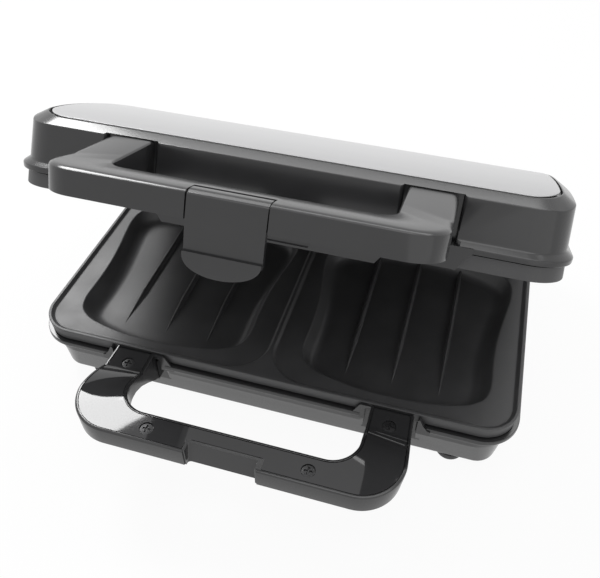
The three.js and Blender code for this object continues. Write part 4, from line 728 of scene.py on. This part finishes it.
def handleStations(handle, inset, outer, arm=26, turn=18, bar=9):
    # points of the U's outer or inner edge, inset from it, from the left arm's root to the right one's
    half = handle["half"] - inset if outer else handle["innerHalf"] + inset
    reach = handle["reach"] - inset if outer else handle["innerReach"] + inset
    radius = handle["radius"] - inset if outer else handle["innerRadius"] + inset
    armY = np.linspace(handle["back"], -reach + radius, arm)[:-1]
    if "crease" in handle:
        armY = np.sort(np.append(armY, handle["crease"]))[::-1]
    run = (armY - handle["back"]) / (radius - reach - handle["back"])
    narrower = handle["flare"] * (1 - run) if outer else 0
    left = np.column_stack([-half + narrower * np.ones(len(armY)), armY])
    angle = np.linspace(math.pi, 1.5 * math.pi, turn)
    centreX, centreY = -half + radius, -reach + radius
    corner = np.column_stack([centreX + radius * np.cos(angle), centreY + radius * np.sin(angle)])
    barX = np.linspace(centreX, 0, bar)[1:]
    across = np.column_stack([barX, np.full(len(barX), -reach)])
    leftHalf = np.vstack([left, corner, across])
    return np.vstack([leftHalf, leftHalf[-2::-1] * [-1, 1]])


def handlePatch(section):
    # loft along the U; a section entry is (outline, outer edge or not, inset, height as a function of y)
    sides = []
    for outline, outer, inset, height in section:
        line = handleStations(outline, inset, outer)
        sides.append(np.column_stack([line, height(line[:, 1])]))
    return gridPatch(np.stack(sides, axis=1), capEnds=True)


def bandPatch(outline, inset, low, high):
    # flat band along the U, the same inset from both its edges
    return handlePatch([(outline, True, inset, low), (outline, True, inset, high),
                        (outline, False, inset, high), (outline, False, inset, low)])


def lowered(height, drop):
    # the height less the same drop everywhere
    return lambda y: height(y) - drop


def lowHandlePatch():
    # side wall, rounded outer rim, the insert's recess, rounded inner rim
    h, rim = lowHandle, lowHandle["rim"]
    deep = lowered(lowTop, h["recess"])
    section = [(lowFoot, True, 0, lowUnder)]
    section += [(h, True, inset, lowered(lowTop, drop)) for inset, drop in h["rounding"]]
    section += [(h, True, rim, deep), (h, False, rim, deep)]
    section += [(h, False, inset, lowered(lowTop, drop)) for inset, drop in h["rounding"][::-1]]
    return handlePatch(section + [(h, False, 0, lowUnder)])


def lowTrimPatch():
    # the glossy insert: a band in the recess, just below the rim
    low = lowered(lowTop, lowHandle["recess"] + lowTrim["thick"] + lowTrim["sunk"])
    outline = {**lowHandle, "back": lowTrim["back"]}
    return bandPatch(outline, lowHandle["rim"] + lowTrim["gap"], low, lowered(lowTop, lowTrim["sunk"]))


def slotCutter(handle, side):
    # space around an arm's root: plan outlines whose mouths are rounded where they meet the wall's face,
    # one at each (z, how far out the face is) of the handle's slotWall
    inner, outer = handle["innerHalf"] - handle["slotIn"], handle["half"] + slot["out"] - handle["flare"]
    turn, r = np.linspace(0, math.pi / 2, 7), slot["round"]
    rings = []
    for z, out in handle["slotWall"]:
        mouth = np.column_stack([outer + r - r * np.cos(turn), -out + r - r * np.sin(turn)])
        right = np.vstack([[(outer, slot["depth"])], mouth, [(outer + r, slot["front"])]])
        left = right * [-1, 1] + [inner + outer, 0]
        plan = np.vstack([right, left[::-1]]) * [side, 1]
        rings.append(np.column_stack([plan, np.full(len(plan), z)]))
    return gridPatch(np.array(rings), capEnds=True)


def slotBack(handle, side):
    # the wall that closes the slot behind the arm
    inner = handle["innerHalf"] - handle["slotIn"] - slot["lap"]
    outer = handle["half"] + slot["out"] + slot["lap"]
    a, b = sorted((side * inner, side * outer))
    outline = boxOutline(a, b, handle["slotFill"] - slot["sunk"], slot["depth"] + slot["back"])
    return blockPatch(outline, *handle["slotBack"], "z")


def rootBlocks():
    # shoulders beside the handle's arms, which close the gap under the rim, and the arms' feet behind them
    made = []
    for side in (-1, 1):
        for name in ("outer", "inner"):
            outline = [(side * x, z) for x, z in shoulder[name]]
            made.append(blockPatch(outline, shoulder[name + "Face"], shoulder["back"], "y"))
        footing = boxOutline(lowHandle["innerHalf"], lowHandle["half"] - lowHandle["flare"], *shoulder["footZ"])
        made.append(blockPatch([(side * x, z) for x, z in footing], *shoulder["footY"], "y"))
        made.append(slotBack(lowHandle, side))
    return made


def deckPatch(low, high):
    # flat deck behind the plate, with rounded rear corners
    half, front, r = body["halfWidth"] - deck["inset"], body["plateDepth"] + deck["front"], deck["corner"]
    back = body["depth"] - deck["back"]
    turn = np.linspace(0, math.pi / 2, 12)
    arc = np.column_stack([half - r + r * np.cos(turn), back - r + r * np.sin(turn)])
    outline = np.vstack([[(half, front)], arc, arc[::-1] * [-1, 1], [(-half, front)]])
    return blockPatch(outline, low, high, "z")


def lugPatches(lugs):
    # a cheek on each side that ends in a round knuckle about the hinge pin
    y, z, r = hingeAt[1], hingeAt[2], knuckle["radius"]
    turn = np.linspace(math.radians(knuckle["from"]), math.radians(knuckle["to"]), 22)
    arc = np.column_stack([y + r * np.cos(turn), z + r * np.sin(turn)])
    root = body["depth"] - knuckle["sunk"]
    outline = np.vstack([[(root, lugs["low"])], arc, [(root, lugs["high"])]])
    return [blockPatch(outline, *sorted((side * lugs["inner"], side * lugs["outer"])), "x") for side in (-1, 1)]


def notchCutter(grow=0.0):
    # space for the latch: a plan outline whose back slants forwards as it goes down, its left corner rounded
    lean = (notch["foot"] - notch["top"]) / (lowHandle["top"] - lowHandle["bottom"])
    left, right = (notch["shift"] + side * (notch["half"] + grow) for side in (-1, 1))
    rings = []
    for z in notch["z"]:
        back = notch["top"] + (lowHandle["top"] - z) * lean + grow
        plan = filletPath([(left, notch["front"]), (left, back), (right, back), (right, notch["front"])],
                          [0, notch["round"] + grow, 0, 0], 6)
        rings.append(np.column_stack([plan, np.full(len(plan), z)]))
    return gridPatch(np.array(rings), capEnds=True)


def buildBase():
    # the shell is the wall, handle, rim, deck, root blocks and lugs; the insert is the band less its holes
    wall = gridPatch(bodySkin(wallLevels(base["section"])), closeAlong=True)
    notchRim = blockPatch(boxOutline(*notch["rim"]), lowHandle["bottom"] + notch["rimInset"],
                          lowHandle["top"] - notch["rimInset"], "z")
    shell = [
        carved(wall, [slotCutter(lowHandle, side) for side in (-1, 1)]),
        carved(lowHandlePatch(), [notchCutter(notch["clear"])]),
        carved(notchRim, [notchCutter()]),
        deckPatch(*base["deck"]),
    ] + rootBlocks() + lugPatches(base["lugs"])
    makePiece("baseShell", shell, "base", ["base_housing"], "housing_plastic", sharp=24, bevel=0.35)
    r, (low, high) = lowTrim["screwHole"], lowTrim["holeZ"]
    hole = [(0.01, low), (r, low), (r, high), (0.01, high)]
    cutters = [notchCutter(lowHandle["rim"] + lowTrim["gap"])]
    cutters += [lathePatch(hole, (x, y, 0), around=48) for x, y in screwSpots]
    makePiece("lowerTrim", [carved(lowTrimPatch(), cutters)], "base", ["lower_handle_insert"], "gloss_trim",
              bevel=0.25)


buildBase()
print("base done")


# Lid, its handle and its panel

lid = {
    # the wall's section, from the flange's mouth round the bead, up, over the edge to the panel's seat and inside
    "section": [
        (-6.0, 9.8, 12.0, 0), (-6.0, 7.9, 12.0, 0.3), (1.8, 7.9, 19.8, 0.45), (2.0, 10.3, 20.0, 0.6),
        (-0.9, 12.6, 18.2, 0.8), (-2.1, 30.6, 17.9, 0.45), (-7.5, 33.8, 15.2, 0.4), (-8.1, 33.8, 15.0, 0.2),
        (-8.2, 31.9, 15.0, 0.3), (-10.6, 31.9, 12.6, 0.3), (-10.6, 33.5, 12.6, 0.2), (-12.4, 33.5, 10.8, 0.2),
        (-12.4, 30.2, 10.8, 0.5), (-4.5, 28.0, 15.0, 0.5), (-3.2, 13.0, 15.0, 0.5), (-3.4, 9.8, 14.6, 0),
    ],
    "fallFrom": 14.5, "fallTo": 27.0,  # heights between which the roof's drop grows
    "deck": (0.3, 10.0), "lugs": {"inner": 78.4, "outer": 87.4, "low": 0.6, "high": 13.0},
}
panel = {
    "edge": [(-9.2, 33.6, 14.6, 0), (-9.2, 33.95, 14.6, 0.3), (-10.0, 34.1, 14.0, 0.4), (-16.0, 34.1, 9.0, 0)],
    "across": 14,
}
skirt = {
    # right halves as (x, z): the skirt with its hanging tongue, and the window in the tongue's face
    "outline": [(50.0, -3.8), (53.0, 0.3), (84.0, 0.3), (84.7, 0.8), (86.6, 4.9), (88.3, 7.2), (90.0, 8.2),
                (90.0, 10.5)],
    "outlineY": (-2.8, -0.4), "window": [(20.0, -2.8), (24.0, 6.0)], "windowY": (-6.0, -1.6),
}
lidHandle = {
    "half": 80.0, "flare": 0.0, "reach": 56.1, "radius": 15.0, "innerHalf": 58.6, "innerReach": 39.5,
    "innerRadius": 9.0, "back": 5.3, "top": 27.1, "rootTop": 30.8, "level": -30.0, "rootY": 2.4, "bottom": 15.8,
    "slotIn": 1.8, "slotFill": 5.2, "slotWall": [(9.5, 0.0), (31.3, -2.14)], "slotBack": (8.6, 30.3),
    "gapX": (-17.05, 15.75), "gapY": (-62.0, -47.0), "gapZ": (10.0, 32.0),  # the latch's place in the bar
    # inset and drop: a flattened quarter ellipse at the front, a small round at the inner edge
    "front": [(0.0, 1.9), (0.3, 1.15), (1.0, 0.55), (2.1, 0.15), (3.4, 0.0)],
    "inner": [(1.5, 0.0), (0.75, 0.2), (0.2, 0.75), (0.0, 1.5)],
}
lidTrim = {"back": -0.3, "inset": 1.6, "sunk": 0.02, "thick": 1.6}


def lidTop(y):
    # level on the bar, then an even rise along the arm to its root
    share = np.clip((np.asarray(y, float) - lidHandle["level"]) / (lidHandle["rootY"] - lidHandle["level"]), 0, 1)
    return lidHandle["top"] + share * (lidHandle["rootTop"] - lidHandle["top"])


def lidBottom(y):
    # level
    return np.full(len(y), lidHandle["bottom"])


def panelPatch():
    # thin sheet that follows the roof, with a softly rounded edge
    levels = wallLevels(panel["edge"], 5)
    rings = bodySkin(levels, np.ones(len(levels)))
    share = np.linspace(0, 1, panel["across"])[None, :, None]
    made = [gridPatch(rings)]
    for ring in (rings[-1], rings[0]):
        right, left = ring[:len(ring) // 2, None], ring[len(ring) // 2:][::-1, None]
        made.append(gridPatch(right * (1 - share) + left * share, closeAround=False))
    return made


def skirtPatch():
    # front skirt: down to the rim beside the arms, a hanging tongue with a shallow window between them
    whole, window = (side + [(-x, z) for x, z in side[::-1]] for side in (skirt["outline"], skirt["window"]))
    return carved(blockPatch(whole, *skirt["outlineY"], "y"), [blockPatch(window, *skirt["windowY"], "y")])


def lidHandlePatch():
    # flat front, rounded up to the top, and inner edges rounded the same way
    h = lidHandle
    section = [(h, True, 0, lidBottom)] + [(h, True, inset, lowered(lidTop, drop)) for inset, drop in h["front"]]
    section += [(h, False, inset, lowered(lidTop, drop)) for inset, drop in h["inner"]]
    return handlePatch(section + [(h, False, 0, lidBottom)])


def lidTrimPatch():
    # the closing band under the handle
    outline = {**lidHandle, "back": lidTrim["back"]}
    return bandPatch(outline, lidTrim["inset"], lowered(lidBottom, lidTrim["sunk"]),
                     lowered(lidBottom, -lidTrim["thick"]))


def buildLid():
    # the roof's drop grows evenly with height up the wall; the latch's gap is cut from the handle and its trim
    levels = wallLevels(lid["section"])
    fall = np.clip((levels[:, 1] - lid["fallFrom"]) / (lid["fallTo"] - lid["fallFrom"]), 0, 1)
    wall = gridPatch(bodySkin(levels, fall), closeAlong=True)
    gap = blockPatch(boxOutline(*lidHandle["gapX"], *lidHandle["gapY"]), *lidHandle["gapZ"], "z")
    shell = [
        carved(wall, [slotCutter(lidHandle, side) for side in (-1, 1)]),
        carved(lidHandlePatch(), [gap]),
        deckPatch(*lid["deck"]),
        skirtPatch(),
    ] + [slotBack(lidHandle, side) for side in (-1, 1)] + lugPatches(lid["lugs"])
    makePiece("lidShell", shell, "lid", ["lid_housing"], "housing_plastic", sharp=24, bevel=0.35)
    makePiece("lidPanel", panelPatch(), "lid", ["lid_top_panel"], "satin_panel")
    makePiece("lidTrim", [carved(lidTrimPatch(), [gap])], "lid", ["lid_handle_insert"], "gloss_trim", bevel=0.3)


buildLid()
print("lid done")


# Latch

latch = {
    "half": 15.85, "shift": -0.65, "thick": 2.6, "face": -lidHandle["reach"], "foot": 1.9, "footIn": 0.5,
    "stepZ": 3.6, "bendZ": 15.4, "lean": 0.45, "brow": 25.5, "innerTop": 19.6,
    # the head round the pin as (y, z), and the rounding of every corner of the section from the foot round
    "head": [(-52.7, 27.1), (-48.6, 27.1), (-47.7, 26.1), (-47.1, 24.0), (-48.0, 22.0), (-50.0, 21.1)],
    "rounding": [0, 0.2, 0.5, 4.8, 1.0, 1.0, 0.6, 0.8, 0.8, 0.8, 0.8, 0.8, 1.0, 0],
    "lipDrop": 7.8, "lipThick": 1.6, "lipOut": 0.9, "lipFlare": 3.0, "lipTop": 3.8, "lipSlant": 0.25,
    # ridges: their sides, their root, tip and shoulder in y, and their low, tip's and high z
    "ridgeX": (12.2, 15.0), "ridgeY": (-53.6, -52.0, -52.6), "ridgeZ": (1.9, 2.5, 3.3),
}


def latchBody():
    # section of the clip: foot, face with a slight bow, rounded head over the pin, and back down
    face, back, shy = latch["face"], latch["face"] + latch["thick"], latch["footIn"]
    outline = [(back + shy, latch["foot"]), (face + shy, latch["foot"]), (face + shy, latch["stepZ"]),
               (face, latch["bendZ"]), (face + latch["lean"], latch["brow"])] + latch["head"]
    outline += [(back, latch["innerTop"]), (back, latch["bendZ"]), (back + shy, latch["foot"])]
    outline = filletPath(outline, latch["rounding"], 5)[:-1]
    return blockPatch(outline, latch["shift"] - latch["half"], latch["shift"] + latch["half"], "x")


def latchRidges():
    # two short pointed ridges behind the foot, towards the lower handle's notch
    (root, tip, shoulderY), (low, middle, high) = latch["ridgeY"], latch["ridgeZ"]
    outline = [(root, low), (shoulderY, low), (tip, middle), (shoulderY, high), (root, high)]
    inner, outer = latch["ridgeX"]
    return [blockPatch(outline, *sorted((side * inner, side * outer)), "x") for side in (-1, 1)]


def latchLip():
    # half-ellipse tab that flares outwards as it falls; two skins a wall apart, joined at the edge
    u = np.linspace(0, 1, 15)
    angle = np.linspace(0, math.pi, 41)
    across = latch["shift"] + latch["half"] * np.cos(angle)
    fall = u[:, None] * (latch["lipDrop"] * np.sin(angle) ** 0.8)[None]
    flare = latch["lipFlare"] * (fall / latch["lipDrop"]) ** 1.5
    skins = []
    for thick in (0.0, latch["lipThick"]):
        y = latch["face"] - latch["lipOut"] - flare + thick
        z = latch["lipTop"] - fall + thick * latch["lipSlant"]
        skins.append(np.stack([np.tile(across, (len(u), 1)), y, z], axis=-1))
    outer, inner = skins
    return gridPatch(np.concatenate([outer, inner[::-1]]), closeAround=False, closeAlong=True)


makePiece("latchClip", [latchBody(), latchLip()] + latchRidges(), "latch", ["latch_clip"], "housing_plastic",
          bevel=0.35)
print("latch done")


# Screws and feet

screw = {
    "radius": 3.1, "height": 1.6, "sunk": 0.45, "dome": 0.2, "cross": 1.9, "slot": 0.4, "deep": 0.65,
    "soft": 0.16, "rings": 30, "around": 96,
}
foot = {
    "x": (-102.0, 102.0), "y": (13.5, 166.0),
    "profile": [(0.01, -43.0), (6.2, -43.0), (7.8, -40.5), (7.8, -37.3), (0.01, -37.3)],
    "rounding": [0, 1.0, 1.6, 0.3, 0],
}


def screwHead(centre):
    # domed head: height falls with the square of the radius, less a cross-shaped recess
    r = np.linspace(0, 1, screw["rings"])[:, None] * screw["radius"]
    turn = np.linspace(0, 2 * math.pi, screw["around"], endpoint=False)[None]
    x, y = r * np.cos(turn), r * np.sin(turn)
    arm = np.minimum(np.maximum(np.abs(x) - screw["cross"], np.abs(y) - screw["slot"]),
                     np.maximum(np.abs(y) - screw["cross"], np.abs(x) - screw["slot"]))
    cut = np.clip(0.5 - arm / screw["soft"], 0, 1)
    dome = -screw["dome"] * (r / screw["radius"]) ** 2 * np.ones_like(turn)
    z = dome - screw["deep"] * cut * cut * (3 - 2 * cut)
    top = np.stack([x, y, z], axis=-1)
    under = np.full_like(x[-1:], -screw["height"])
    side = np.stack([x[-1:], y[-1:], under], axis=-1)
    middle = np.stack([x[:1], y[:1], under], axis=-1)
    return gridPatch(np.concatenate([top, side, middle]) + np.asarray(centre, float))


for i, (x, y) in enumerate(screwSpots):
    head = screwHead((x, y, float(lowTop(y)) - screw["sunk"]))
    makePiece(f"lowerScrew{i + 1}", [head], "base", [f"lower_handle_screw_{i + 1}"], "dark_screw", weld=0.000002)

footProfile = filletPath(foot["profile"], foot["rounding"], 5)
footSpots = [(x, y) for x in foot["x"] for y in foot["y"]]
for i, (x, y) in enumerate(footSpots):
    makePiece(f"foot{i + 1}", [lathePatch(footProfile, (x, y, 0))], "base", [f"foot_{i + 1}"], "rubber")
print("small pieces done")
